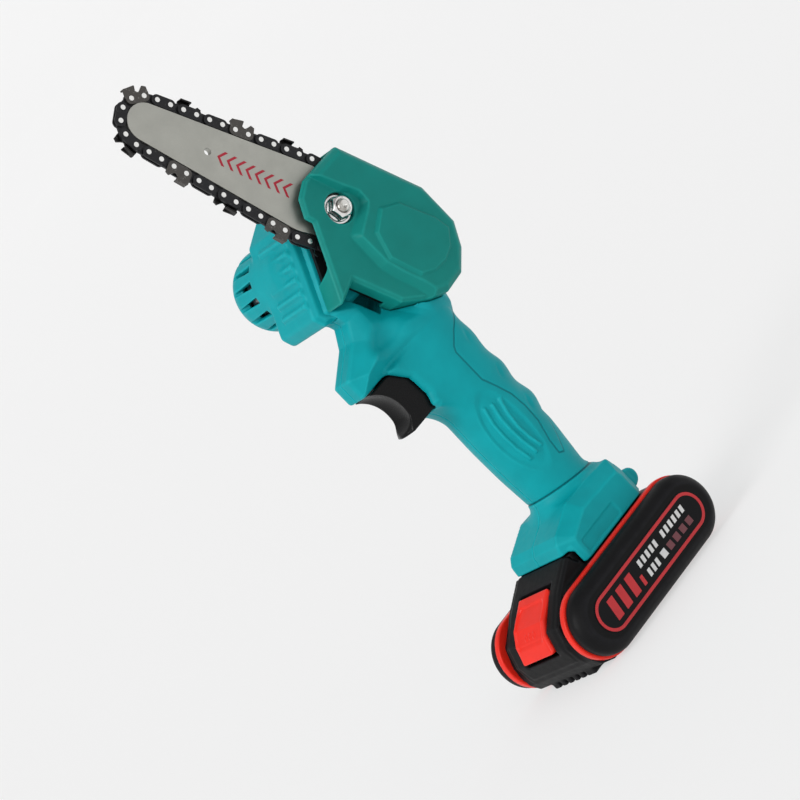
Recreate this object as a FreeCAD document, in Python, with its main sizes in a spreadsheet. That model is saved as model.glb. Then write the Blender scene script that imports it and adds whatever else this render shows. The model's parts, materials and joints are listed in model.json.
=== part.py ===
"""Mini cordless chainsaw with a slide-on battery, modelled in millimetres.

The saw stands on its battery. X points forward (the trigger side), Y points left (the sprocket
cover's side) and Z points up. The origin is the middle of the battery's bottom face.
"""
import FreeCAD, Part
import math
import os

SIZES = {
    # guide bar and chain, seen along Y
    "bar_plane": 14.0, "bar_thick": 3.2, "bar_lean": 23.8, "nose_x": 14.5, "nose_z": 308.3,
    "nose_radius": 9.1, "rivet_gap": 3.1, "bar_wide_at": 80.0, "bar_wide_half": 16.4,
    "bar_tail_at": 113.0, "bar_tail_half": 9.0, "stud_at": 94.3, "bar_hole_at": 30.3,
    "bar_hole_radius": 1.7, "groove_wide": 1.4, "groove_deep": 4.6,
    "chain_pitch": 6.35, "chain_rivets": 56, "chain_start": 74.1, "sprocket_teeth": 6,
    "drive_thick": 1.1, "strap_thick": 0.9, "strap_radius": 2.62, "rivet_radius": 1.15,
    "rivet_proud": 0.35, "cutter_high": 5.6, "tang_deep": 6.6,
    # drive train
    "motor_x": -12.0, "motor_z": 211.0, "motor_radius": 14.6, "motor_near": -5.0,
    "motor_can_long": 39.0, "gear_module": 0.8, "pinion_teeth": 10, "idler_teeth": 22,
    "gear_teeth": 45, "gear_far": -0.8, "gear_wide": 5.0, "spindle_radius": 4.0,
    # housing
    "case_near": 7.0, "case_far": -14.0, "block_near": 5.0, "block_far": -30.0,
    "cap_radius": 19.0, "cap_deep": 27.0, "cap_round": 13.5, "wall": 2.2, "neck_half": 15.0,
    "grip_half": 17.0, "foot_half": 26.0, "foot_low": 36.4, "foot_mid": 45.0,
    # sprocket cover
    "cover_face": 21.0, "cover_raise": 4.0, "cover_wall": 2.0, "pad_floor": 17.7,
    # trigger and switch
    "trigger_half": 7.5, "trigger_travel": 6.0, "trigger_gap": 0.4,
    # battery
    "pack_long": 105.0, "pack_high": 36.0, "core_half": 26.3, "ring_wide": 3.4,
    "cap_wall": 2.0, "cap_step": 3.4, "cap_slope": 5.8, "label_thick": 0.3,
    "cell_radius": 9.15, "cell_long": 65.0, "cell_pitch": 18.7, "cell_high": 13.0,
    "button_half": 13.0, "button_gap": 0.4,
}

DOC = FreeCAD.newDocument("MiniChainsaw")
SHEET = DOC.addObject("Spreadsheet::Sheet", "Sizes")
NODES = {}


def fill_sheet():
    for row, (alias, value) in enumerate(SIZES.items(), start=1):
        SHEET.set("A%d" % row, alias)
        SHEET.set("B%d" % row, str(value))
        SHEET.setAlias("B%d" % row, alias)
    DOC.recompute()


def size(alias):
    return float(SHEET.get(alias))


def cell(text):
    """An expression on the sheet: every alias in the text gets the sheet's name."""
    words = []
    for word in str(text).split():
        words.append("Sizes." + word if word in SIZES else word)
    return " ".join(words)


# ---------------------------------------------------------------- outlines and plain solids

def corner_arc(before, corner, after, radius):
    """The tangent points and the middle of the arc that rounds a corner."""
    a = FreeCAD.Vector(before[0] - corner[0], before[1] - corner[1], 0)
    b = FreeCAD.Vector(after[0] - corner[0], after[1] - corner[1], 0)
    half = a.getAngle(b) / 2
    reach = radius / math.tan(half)
    point = FreeCAD.Vector(corner[0], corner[1], 0)
    a.normalize()
    b.normalize()
    middle = (a + b).normalize()
    centre = point + middle * (radius / math.sin(half))
    return point + a * reach, centre - middle * radius, point + b * reach


def outline_edges(points):
    """Lines and arcs of a closed outline; a point is (across, up) or (across, up, radius)."""
    count = len(points)
    ends = []
    edges = []
    for index, point in enumerate(points):
        if len(point) == 3:
            start, middle, stop = corner_arc(points[index - 1], point, points[(index + 1) % count], point[2])
            edges.append(Part.Arc(start, middle, stop))
            ends.append((start, stop))
        else:
            place = FreeCAD.Vector(point[0], point[1], 0)
            ends.append((place, place))
    for index in range(count):
        start = ends[index][1]
        stop = ends[(index + 1) % count][0]
        if start.distanceToPoint(stop) > 0.001:
            edges.append(Part.LineSegment(start, stop))
    return edges


def offset_outline(points, inward):
    """The outline moved inward by a distance, or outward by a negative one."""
    count = len(points)
    area = sum(points[i - 1][0] * points[i][1] - points[i][0] * points[i - 1][1] for i in range(count))
    turn = 1 if area > 0 else -1
    lines = []
    for index in range(count):
        a, b = points[index], points[(index + 1) % count]
        span = math.dist(a[:2], b[:2])
        step = ((b[0] - a[0]) / span, (b[1] - a[1]) / span)
        lines.append((a[0] - turn * step[1] * inward, a[1] + turn * step[0] * inward, step))
    moved_points = []
    for index, point in enumerate(points):
        ax, az, (ux, uz) = lines[index - 1]
        bx, bz, (vx, vz) = lines[index]
        cross = ux * vz - uz * vx
        along = ((bx - ax) * vz - (bz - az) * vx) / cross
        corner = (ax + ux * along, az + uz * along)
        if len(point) == 3:
            bend = point[2] - inward if cross * turn > 0 else point[2] + inward
            corner += (max(bend, 0.3),)
        moved_points.append(corner)
    return moved_points


def prism(name, points, near, depth, taper=0.0):
    """A body padded from an outline in XZ: its near face is at Y = near, and it runs depth away."""
    body = DOC.addObject("PartDesign::Body", name)
    sketch = body.newObject("Sketcher::SketchObject", name + "_outline")
    plane = [f for f in body.Origin.OriginFeatures if f.Role == "XZ_Plane"][0]
    sketch.AttachmentSupport = [(plane, "")]
    sketch.MapMode = "FlatFace"
    sketch.setExpression("AttachmentOffset.Base.z", "-(" + cell(near) + ")")
    sketch.addGeometry(outline_edges(points), False)
    pad = body.newObject("PartDesign::Pad", name + "_pad")
    pad.Profile = sketch
    pad.setExpression("Length", cell(depth))
    if taper:
        pad.TaperAngle = taper
    return body


def box(name, low, high):
    """A box from two corners, each coordinate a number or an expression on the sheet."""
    solid = DOC.addObject("Part::Box", name)
    for prop, axis, a, b in zip(("Length", "Width", "Height"), "xyz", low, high):
        solid.setExpression(prop, cell("%s - ( %s )" % (b, a)))
        solid.setExpression("Placement.Base." + axis, cell(str(a)))
    return solid


def rod(name, centre, radius, near, depth):
    """A cylinder along Y about centre (x, z), from its near face at Y = near and depth away."""
    solid = DOC.addObject("Part::Cylinder", name)
    solid.setExpression("Radius", cell(str(radius)))
    solid.setExpression("Height", cell(str(depth)))
    turn = FreeCAD.Rotation(FreeCAD.Vector(1, 0, 0), 90)
    solid.Placement = FreeCAD.Placement(FreeCAD.Vector(centre[0], 0, centre[1]), turn)
    solid.setExpression("Placement.Base.y", cell(str(near)))
    return solid


def rod_along(name, base, direction, radius, length):
    """A cylinder from base along any direction."""
    solid = DOC.addObject("Part::Cylinder", name)
    solid.setExpression("Radius", cell(str(radius)))
    solid.setExpression("Height", cell(str(length)))
    turn = FreeCAD.Rotation(FreeCAD.Vector(0, 0, 1), FreeCAD.Vector(*direction))
    solid.Placement = FreeCAD.Placement(FreeCAD.Vector(*base), turn)
    return solid


def fuse(name, *parts):
    joined = DOC.addObject("Part::MultiFuse", name)
    joined.Shapes = list(parts)
    return joined


def cut(name, base, *tools):
    tool = tools[0] if len(tools) == 1 else fuse(name + "_tools", *tools)
    result = DOC.addObject("Part::Cut", name)
    result.Base = base
    result.Tool = tool
    return result


def common(name, one, other):
    result = DOC.addObject("Part::Common", name)
    result.Base = one
    result.Tool = other
    return result


def group(name, *parts):
    together = DOC.addObject("Part::Compound", name)
    together.Links = list(parts)
    return together


def node(label, solid):
    solid.Label = label
    NODES[label] = solid
    return solid


def placed_copies(label, pattern, placements):
    """Separate copies of one pattern solid, in one node."""
    DOC.recompute()
    shapes = [pattern.Shape.copy().transformGeometry(p.toMatrix()) for p in placements]
    copies = DOC.addObject("Part::Feature", label + "_copies")
    copies.Shape = Part.makeCompound(shapes)
    return node(label, copies)


# ---------------------------------------------------------------- bar and chain geometry

def bar_point(along, across):
    """From the bar's own lines (along from the nose, across to the front) to (x, z)."""
    lean = math.radians(size("bar_lean"))
    x = size("nose_x") - along * math.sin(lean) + across * math.cos(lean)
    z = size("nose_z") - along * math.cos(lean) - across * math.sin(lean)
    return x, z


def sprocket_pitch_radius():
    return size("chain_pitch") / (2 * math.sin(math.pi / (2 * size("sprocket_teeth"))))


class ChainPath:
    """The rivets' closed line: nose arc, two runs bent at the bar's widest place, sprocket arc."""

    def __init__(self, reach):
        nose = size("nose_radius") + size("rivet_gap")
        wide = (size("bar_wide_at"), size("bar_wide_half") + size("rivet_gap"))
        tail = sprocket_pitch_radius()
        far = math.hypot(*wide)
        self.nose_turn = math.atan2(wide[1], wide[0]) + math.acos(nose / far)
        back = math.hypot(reach - wide[0], wide[1])
        lift = math.atan2(wide[1], reach - wide[0])
        self.tail_turn = lift + math.acos(tail / back)
        self.parts = []
        start = (nose * math.cos(self.nose_turn), nose * math.sin(self.nose_turn))
        stop = (reach - tail * math.cos(self.tail_turn), tail * math.sin(self.tail_turn))
        self.add_arc((0, 0), nose, -self.nose_turn, self.nose_turn - 2 * math.pi)
        self.add_line((start[0], start[1]), wide)
        self.add_line(wide, stop)
        self.add_arc((reach, 0), tail, math.pi - self.tail_turn, self.tail_turn - math.pi)
        self.add_line((stop[0], -stop[1]), (wide[0], -wide[1]))
        self.add_line((wide[0], -wide[1]), (start[0], -start[1]))
        self.length = sum(part[0] for part in self.parts)

    def add_line(self, a, b):
        span = math.dist(a, b)
        step = ((b[0] - a[0]) / span, (b[1] - a[1]) / span)
        self.parts.append((span, lambda s: (a[0] + step[0] * s, a[1] + step[1] * s)))

    def add_arc(self, centre, radius, first, last):
        sign = 1 if last > first else -1

        def point(s):
            angle = first + sign * s / radius
            return centre[0] + radius * math.cos(angle), centre[1] + radius * math.sin(angle)
        self.parts.append((abs(last - first) * radius, point))

    def point(self, s):
        s = s % self.length
        for span, place in self.parts:
            if s <= span:
                return place(s)
            s -= span
        return self.parts[-1][1](self.parts[-1][0])

    def rivets(self, first):
        """Rivet places a straight pitch apart, and how far the last one overshoots the first."""
        places = [first]
        pitch = size("chain_pitch")
        for _ in range(int(size("chain_rivets"))):
            here = self.point(places[-1])
            low, high = pitch * 0.9, pitch * 1.2
            for _ in range(40):
                middle = (low + high) / 2
                if math.dist(here, self.point(places[-1] + middle)) < pitch:
                    low = middle
                else:
                    high = middle
            places.append(places[-1] + low)
        return places[:-1], places[-1] - first - self.length


def closed_chain():
    """The distance from nose to sprocket at which the chain closes, and the rivets' places."""
    low, high = 120.0, 150.0
    for _ in range(40):
        reach = (low + high) / 2
        path = ChainPath(reach)
        if path.rivets(0.0)[1] > 0:
            low = reach
        else:
            high = reach
    lean = math.radians(size("bar_lean"))
    nose = size("nose_radius") + size("rivet_gap")
    start = math.radians(size("chain_start"))
    wanted = (nose * (-math.cos(start) * math.sin(lean) - math.sin(start) * math.cos(lean)),
              nose * (math.cos(start) * math.cos(lean) - math.sin(start) * math.sin(lean)))
    first = min((path.length * i / 4000 for i in range(4000)),
                key=lambda s: math.dist(path.point(s), wanted))
    places = path.rivets(first)[0]
    return reach, [bar_point(*path.point(s)) for s in places]


def link_placement(a, b, side=0.0):
    """Puts a link drawn from its first rivet along X, outward up, on the rivets a and b."""
    across = FreeCAD.Vector(b[0] - a[0], 0, b[1] - a[1]).normalize()
    left = FreeCAD.Vector(0, 1, 0)
    up = across.cross(left)
    matrix = FreeCAD.Matrix(across.x, left.x, up.x, a[0],
                            across.y, left.y, up.y, size("bar_plane") + side,
                            across.z, left.z, up.z, a[1], 0, 0, 0, 1)
    return FreeCAD.Placement(matrix)


def strap_points(radius):
    pitch = size("chain_pitch")
    return [(-radius, -radius, radius * 0.98), (pitch + radius, -radius, radius * 0.98),
            (pitch + radius, radius, radius * 0.98), (-radius, radius, radius * 0.98)]


def drilled(blank):
    """A link with its two rivet holes."""
    pitch = size("chain_pitch")
    holes = [rod("%s_hole_%d" % (blank.Name, i), (i * pitch, 0), "rivet_radius + 0.03", 2.0, 4.0)
             for i in range(2)]
    return cut(blank.Name + "_drilled", blank, *holes)


def make_chain():
    pitch = size("chain_pitch")
    reach, rivets = closed_chain()
    count = len(rivets)
    radius = size("strap_radius")
    high = size("cutter_high")
    deep = size("tang_deep")
    gap = 0.05
    tang = [(-radius, -radius, radius * 0.98), (0.9, -radius), (1.7, -deep, 0.4), (3.9, -deep, 0.5),
            (pitch - 0.8, -radius), (pitch + radius, -radius, radius * 0.98),
            (pitch + radius, radius * 0.8, radius * 0.6), (-radius, radius * 0.8, radius * 0.6)]
    plate = [(-radius, -radius, 2.4), (pitch + radius, -radius, 2.4), (pitch + radius, 1.0),
             (pitch + 2.6, high - 0.9, 0.6), (pitch - 3.4, high, 0.4), (pitch - 3.0, 2.9),
             (2.0, 2.0, 0.8), (0.9, 3.0), (-0.6, high - 0.9), (-2.4, high - 1.6), (-radius, 1.2)]
    drive = drilled(prism("drive_link_blank", tang, "drive_thick / 2", "drive_thick"))
    strap = drilled(prism("strap_blank", strap_points(radius), "strap_thick / 2", "strap_thick"))
    side = drilled(prism("cutter_side_blank", plate, "strap_thick / 2", "strap_thick"))
    top = DOC.addObject("Part::Box", "cutter_top_pattern")
    top.Length = 5.2
    top.setExpression("Width", cell("strap_thick + 2.3"))
    top.setExpression("Height", cell("strap_thick * 0.8"))
    top.setExpression("Placement.Base.x", cell("chain_pitch - 3.0"))
    top.setExpression("Placement.Base.y", cell("strap_thick / 2 - strap_thick - 2.3"))
    top.setExpression("Placement.Base.z", cell("cutter_high - 1.45"))
    left = fuse("left_cutter_pattern", side, top)
    right = DOC.addObject("Part::Mirroring", "right_cutter_pattern")
    right.Source = left
    right.Normal = FreeCAD.Vector(0, 1, 0)
    head = size("drive_thick") / 2 + size("strap_thick") + size("rivet_proud") + gap
    rivet = rod("rivet_pattern", (0, 0), "rivet_radius", head, 2 * head)
    bevel = DOC.addObject("Part::Chamfer", "rivet_bevelled")
    bevel.Base = rivet
    bevel.Edges = [(1, 0.3, 0.3), (3, 0.3, 0.3)]
    offset = size("drive_thick") / 2 + size("strap_thick") / 2 + gap
    drives, straps, lefts, rights, pins = [], [], [], [], []
    for index in range(count):
        a = rivets[index]
        b = rivets[(index + 1) % count]
        pins.append(link_placement(a, b))
        if index % 2 == 1:
            drives.append(link_placement(a, b))
            continue
        station = index % 8
        (lefts if station == 6 else straps).append(link_placement(a, b, offset))
        (rights if station == 2 else straps).append(link_placement(a, b, -offset))
    placed_copies("drive_links", drive, drives)
    placed_copies("tie_straps", strap, straps)
    placed_copies("left_cutters", left, lefts)
    placed_copies("right_cutters", right, rights)
    placed_copies("chain_rivets", bevel, pins)
    return bar_point(reach, 0), rivets


def bar_outline(inset):
    """The guide bar's edge, or a line inside it."""
    nose = size("nose_radius") - inset
    wide = (size("bar_wide_at"), size("bar_wide_half") - inset)
    tail = (size("bar_tail_at") - inset, size("bar_tail_half") - inset * 0.6)
    turn = math.atan2(wide[1], wide[0]) + math.acos(nose / math.hypot(*wide))
    across = nose / math.tan(turn / 2)
    points = [(-nose, across, nose * 0.999), (-nose, -across, nose * 0.999)]
    points += [(wide[0], -wide[1], 20.0), (tail[0], -tail[1], 4.0)]
    points += [(tail[0], tail[1], 4.0), (wide[0], wide[1], 20.0)]
    return [bar_point(p[0], p[1]) + (p[2],) for p in points]


def slot_outline(start, stop, half):
    """A round-ended slot along the bar's axis."""
    corners = [(start - half, half), (start - half, -half), (stop + half, -half), (stop + half, half)]
    return [bar_point(*c) + (half * 0.999,) for c in corners]


def make_bar():
    near = "bar_plane + bar_thick / 2"
    blank = prism("bar_blank", bar_outline(0.0), near, "bar_thick")
    groove = prism("bar_groove_blank", bar_outline(-0.8), "bar_plane + groove_wide / 2", "groove_wide")
    web = prism("bar_web", bar_outline(size("groove_deep")), "bar_plane + groove_wide / 2", "groove_wide")
    rails = cut("bar_groove", groove, web)
    stud_slot = prism("bar_stud_slot", slot_outline(90.0, 101.0, 3.2), near, "bar_thick")
    window = rod("bar_small_hole", bar_point(size("bar_hole_at"), 0), "bar_hole_radius", near, "bar_thick")
    pin_hole = rod("bar_pin_hole", bar_point(84.0, 8.0), 2.1, near, "bar_thick")
    oil_hole = rod("bar_second_hole", bar_point(84.0, -8.0), 2.1, near, "bar_thick")
    node("guide_bar", cut("bar_cut", blank, rails, stud_slot, window, pin_hole, oil_hole))


# ---------------------------------------------------------------- drive train

def gear_outline(teeth, module, phase, play=0.12):
    """An involute gear's outline about (0, 0); phase turns a tooth's middle from +X, in radians."""
    pitch = teeth * module / 2
    base = pitch * math.cos(math.radians(20))
    tip = pitch + 0.9 * module
    root = pitch - 1.2 * module
    involute = math.tan(math.radians(20)) - math.radians(20)
    half_tooth = (math.pi * module / 2 - play) / (2 * pitch)

    def half_angle(radius):
        if radius <= base:
            return half_tooth + involute
        roll = math.acos(base / radius)
        return half_tooth + involute - (math.tan(roll) - roll)
    radii = [root, max(base, root + 0.05), pitch, (pitch + tip) / 2, tip]
    points = []
    for tooth in range(int(teeth)):
        middle = phase + 2 * math.pi * tooth / teeth
        for radius in radii:
            angle = middle - half_angle(radius)
            points.append((radius * math.cos(angle), radius * math.sin(angle)))
        for radius in reversed(radii):
            angle = middle + half_angle(radius)
            points.append((radius * math.cos(angle), radius * math.sin(angle)))
    return points


def moved(points, centre):
    return [(p[0] + centre[0], p[1] + centre[1]) for p in points]


def bearing_from(a, b):
    return math.atan2(b[1] - a[1], b[0] - a[0])


def idler_place(motor, spindle):
    """The idler's centre: in mesh with both the motor pinion and the output gear."""
    module = size("gear_module")
    first = module * (size("pinion_teeth") + size("idler_teeth")) / 2
    second = module * (size("gear_teeth") + size("idler_teeth")) / 2
    apart = math.dist(motor, spindle)
    along = (first ** 2 - second ** 2 + apart ** 2) / (2 * apart)
    aside = math.sqrt(max(first ** 2 - along ** 2, 0.0))
    ux, uz = (spindle[0] - motor[0]) / apart, (spindle[1] - motor[1]) / apart
    return motor[0] + ux * along + uz * aside, motor[1] + uz * along - ux * aside


def make_gears(spindle):
    motor = (size("motor_x"), size("motor_z"))
    idler = idler_place(motor, spindle)
    module = size("gear_module")
    near = "gear_far + gear_wide"
    towards_idler = bearing_from(spindle, idler)
    back_to_gear = bearing_from(idler, spindle)
    towards_motor = bearing_from(idler, motor)
    back_to_idler = bearing_from(motor, idler)
    idler_pitch = 2 * math.pi / size("idler_teeth")
    idler_phase = back_to_gear + idler_pitch / 2
    slip = ((towards_motor - idler_phase) / idler_pitch) % 1.0
    pinion_pitch = 2 * math.pi / size("pinion_teeth")
    pinion_phase = back_to_idler + pinion_pitch * (0.5 + slip)
    gear = prism("gear_wheel", moved(gear_outline(size("gear_teeth"), module, towards_idler), spindle),
                 near, "gear_wide")
    gear_bore = rod("gear_bore", spindle, "spindle_radius + 0.01", near, "gear_wide")
    holes = []
    for index in range(5):
        angle = 2 * math.pi * index / 5
        place = (spindle[0] + 11 * math.cos(angle), spindle[1] + 11 * math.sin(angle))
        holes.append(rod("gear_hole_%d" % index, place, 3.2, near, "gear_wide"))
    node("output_gear", cut("gear_cut", gear, gear_bore, *holes))
    wheel = prism("idler_wheel", moved(gear_outline(size("idler_teeth"), module, idler_phase), idler),
                  near, "gear_wide")
    node("idler_gear", cut("idler_cut", wheel, rod("idler_bore", idler, 2.55, near, "gear_wide")))
    node("idler_pin", rod("idler_axle", idler, 2.5, "case_near - 0.1", "case_near + 3.8"))
    pinion = prism("pinion_wheel", moved(gear_outline(size("pinion_teeth"), module, pinion_phase), motor),
                   near, "gear_wide")
    node("motor_pinion", cut("pinion_cut", pinion, rod("pinion_bore", motor, 1.6, near, "gear_wide")))
    return idler


def ring(name, centre, outer, inner, near, depth):
    solid = rod(name + "_outer", centre, outer, near, depth)
    return cut(name, solid, rod(name + "_inner", centre, inner, near, depth))


def make_spindle(spindle):
    shaft = rod("spindle_shaft", spindle, "spindle_radius", 18.4, 27.8)
    neck = ring("clip_groove", spindle, "spindle_radius + 1", 3.3, 17.85, 0.9)
    node("output_spindle", cut("spindle_cut", shaft, neck))
    node("sprocket_clip", ring("clip_ring", spindle, 5.6, 3.35, 17.8, 0.8))
    far = ring("far_bearing", spindle, 9.45, "spindle_radius + 0.05", -3.6, 5.8)
    near = ring("near_bearing", spindle, 8.45, "spindle_radius + 0.05", 9.4, 3.8)
    node("spindle_bearings", group("bearing_pair", far, near))


def make_sprocket(spindle, rivets):
    """A toothed sprocket with a slot round its middle for the chain's drive tangs."""
    teeth = int(size("sprocket_teeth"))
    tip = sprocket_pitch_radius() - size("strap_radius") - 0.45
    root = tip - 3.6
    distances = [(math.dist(r, spindle), i) for i, r in enumerate(rivets)]
    wrapped = [i for d, i in distances if abs(d - sprocket_pitch_radius()) < 0.05 and i % 2 == 0]
    first = wrapped[len(wrapped) // 2]
    a = rivets[first]
    b = rivets[(first + 1) % len(rivets)]
    phase = bearing_from(spindle, ((a[0] + b[0]) / 2, (a[1] + b[1]) / 2))
    points = []
    for tooth in range(teeth):
        middle = phase + 2 * math.pi * tooth / teeth
        for radius, spread in ((root, -0.30), (tip, -0.17), (tip, 0.17), (root, 0.30)):
            angle = middle + spread
            points.append((spindle[0] + radius * math.cos(angle), spindle[1] + radius * math.sin(angle)))
    wheel = prism("sprocket_wheel", points, 16.9, 6.3)
    slot = ring("tang_slot", spindle, 14.0, 4.9, "bar_plane + 0.9", 1.8)
    bore = rod("sprocket_bore", spindle, "spindle_radius", 17.0, 6.4)
    node("sprocket", cut("sprocket_cut", wheel, slot, bore))


def make_motor():
    axis = (size("motor_x"), size("motor_z"))
    can = ring("can_tube", axis, "motor_radius", "motor_radius - 1.2", "motor_near", "motor_can_long")
    front = ring("can_front", axis, "motor_radius - 1.2", 3.2, "motor_near", 1.6)
    node("motor_can", fuse("can_fused", can, front))
    magnets = ring("magnet_tube", axis, "motor_radius - 1.3", "motor_radius - 4.6", "motor_near - 6", 27.0)
    gap = box("magnet_gap", (axis[0] - 4.0, -41.0, axis[1] - 20.0), (axis[0] + 4.0, -9.0, axis[1] + 20.0))
    node("motor_magnets", cut("magnet_cut", magnets, gap))
    bell = ring("bell_disc", axis, "motor_radius", 1.7, "motor_near - motor_can_long", 4.0)
    node("motor_end_bell", bell)
    node("rotor_shaft", rod("rotor_rod", axis, 1.58, 5.4, 54.4))
    core = ring("armature_core", axis, 9.5, 1.6, "motor_near - 7", 21.0)
    slots = []
    for index in range(5):
        angle = 2 * math.pi * index / 5
        place = (axis[0] + 8.6 * math.cos(angle), axis[1] + 8.6 * math.sin(angle))
        slots.append(rod("armature_slot_%d" % index, place, 1.5, -9.0, 28.0))
    node("armature", cut("armature_cut", core, *slots))
    node("commutator", ring("commutator_ring", axis, 4.2, 1.6, "motor_near - 30.6", 6.0))
    node("cooling_fan", make_fan(axis))


def make_fan(axis):
    hub = rod("fan_hub", axis, 12.0, "motor_near - 1.9", 1.2)
    blades = [hub]
    for index in range(8):
        blade = box("fan_blade_%d" % index, (4.0, -9.8, -0.5), (12.0, -8.0, 0.5))
        turn = FreeCAD.Rotation(FreeCAD.Vector(0, 1, 0), 45 * index)
        wheel = DOC.addObject("Part::Feature", "fan_blade_turned_%d" % index)
        DOC.recompute()
        wheel.Shape = blade.Shape.copy()
        turned_about = FreeCAD.Placement(FreeCAD.Vector(axis[0], 0, axis[1]), turn)
        wheel.Placement = turned_about.multiply(blade.Placement)
        blades.append(wheel)
    return cut("fan_cut", fuse("fan_fused", *blades), rod("fan_bore", axis, 1.6, 0.0, 20.0))


# ---------------------------------------------------------------- housing

COVER_EDGE = [(-20.0, 242.0, 3.0), (-43.6, 242.0, 2.0), (-62.4, 201.0, 6.0), (-62.4, 180.0, 6.0),
              (-55.5, 169.5, 8.0), (-46.0, 162.2, 10.0), (-34.0, 161.2, 8.0), (-26.0, 164.5, 5.0),
              (-13.2, 173.5, 2.0), (-11.8, 177.0, 1.0), (-2.6, 196.2, 0.5), (10.8, 192.2, 1.5),
              (-8.5, 226.2, 1.5), (-7.0, 230.0, 1.0), (-12.0, 238.0, 2.0)]

BLOCK_EDGE = [(15.2, 196.0, 5.0), (-5.6, 233.4, 2.5), (-21.0, 240.5, 3.0), (-36.0, 240.5, 2.0),
              (-36.0, 188.0), (3.0, 188.5, 2.0), (12.5, 190.5, 4.0)]

NECK_EDGE = [(27.5, 155.8, 2.0), (27.5, 166.5, 3.0), (11.5, 176.5, 6.0), (5.8, 184.0, 3.0),
             (9.0, 192.0), (-30.0, 192.0), (-44.0, 168.0), (-39.0, 155.8, 3.0)]

FOOT_EDGE = [(19.0, 45.0, 0.8), (18.4, 51.6, 1.5), (-2.0, 59.5, 6.0), (-34.0, 58.0, 5.0),
             (-36.0, 48.0, 3.0), (-36.0, 36.4, 0.5), (14.4, 36.4, 0.5)]

GRIP_RINGS = [(50.0, -18.0, 17.5, 15.5), (62.0, -18.9, 16.2, 15.2), (82.0, -19.3, 18.3, 16.6),
              (100.0, -19.9, 19.5, 17.0), (120.0, -19.9, 19.0, 17.0), (138.0, -20.0, 17.8, 16.6),
              (166.0, -22.0, 20.5, 16.0)]


def loft_of_rings(name, rings, inset):
    """A loft up the handle through ellipses of (height, middle, half depth, half width)."""
    sections = []
    for index, (up, middle, deep, half) in enumerate(rings):
        ellipse = DOC.addObject("Part::Ellipse", "%s_ring_%d" % (name, index))
        ellipse.MajorRadius = deep - inset
        ellipse.MinorRadius = half - inset
        ellipse.Placement = FreeCAD.Placement(FreeCAD.Vector(middle, 0, up), FreeCAD.Rotation())
        sections.append(ellipse)
    loft = DOC.addObject("Part::Loft", name)
    loft.Sections = sections
    loft.Solid = True
    return loft


def tension_pocket():
    """The chain tensioner's slot, beside the bar's axis."""
    return [bar_point(a, b) for a, b in ((81.4, 5.8), (81.4, 10.2), (98.2, 10.2), (98.2, 5.8))]


def beside_slot(inward, outward):
    """A strip along the cover's chip slot, from inside its wall to outside it."""
    foot, way = (-11.8, 177.0), (0.432, 0.902)
    corners = ((1.5, -inward), (1.5, outward), (19.7, outward), (19.7, -inward))
    return [(foot[0] + way[0] * up + way[1] * out, foot[1] + way[1] * up - way[0] * out)
            for up, out in corners]


def half_room(side):
    """The half of space on one side of the parting plane."""
    if side > 0:
        return box("left_room", (-120, 0, 0), (120, 60, 330))
    return box("right_room", (-120, -60, 0), (120, 0, 330))


def motor_cap(axis):
    cap = rod("cap_drum", axis, "cap_radius", "block_far", "cap_deep")
    rounded = DOC.addObject("Part::Fillet", "cap_rounded")
    rounded.Base = cap
    DOC.recompute()
    rim = min(range(len(cap.Shape.Edges)), key=lambda i: cap.Shape.Edges[i].CenterOfMass.y)
    edge_radius = size("cap_round")
    rounded.Edges = [(rim + 1, edge_radius, edge_radius)]
    slots = []
    for index in range(16):
        angle = 2 * math.pi * (index + 0.5) / 16
        slot = box("vent_%d" % index, (14.0, -48.5, -1.1), (30.0, -33.0, 1.1))
        turn = FreeCAD.Rotation(FreeCAD.Vector(0, 1, 0), math.degrees(angle))
        turned = DOC.addObject("Part::Feature", "vent_turned_%d" % index)
        DOC.recompute()
        turned.Shape = slot.Shape.copy()
        turned_about = FreeCAD.Placement(FreeCAD.Vector(axis[0], 0, axis[1]), turn)
        turned.Placement = turned_about.multiply(slot.Placement)
        slots.append(turned)
    return cut("cap_vented", rounded, *slots)


def block_ribs():
    """Seven bars across the motor block's sloping front face."""
    low = (12.2, 202.0)
    high = (-3.6, 230.5)
    ribs = []
    for index in range(7):
        share = index / 6.0
        place = (low[0] + (high[0] - low[0]) * share, low[1] + (high[1] - low[1]) * share)
        ribs.append(rod("block_rib_%d" % index, place, 1.3, "block_near - 0.6", 25.0))
    return ribs


GRIP_SCREWS = [(-26.5, 66.0), (-11.5, 66.0)]
OTHER_SCREWS = [(-35.5, 128.0), (20.0, 162.0), (-38.0, 160.5)]


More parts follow.
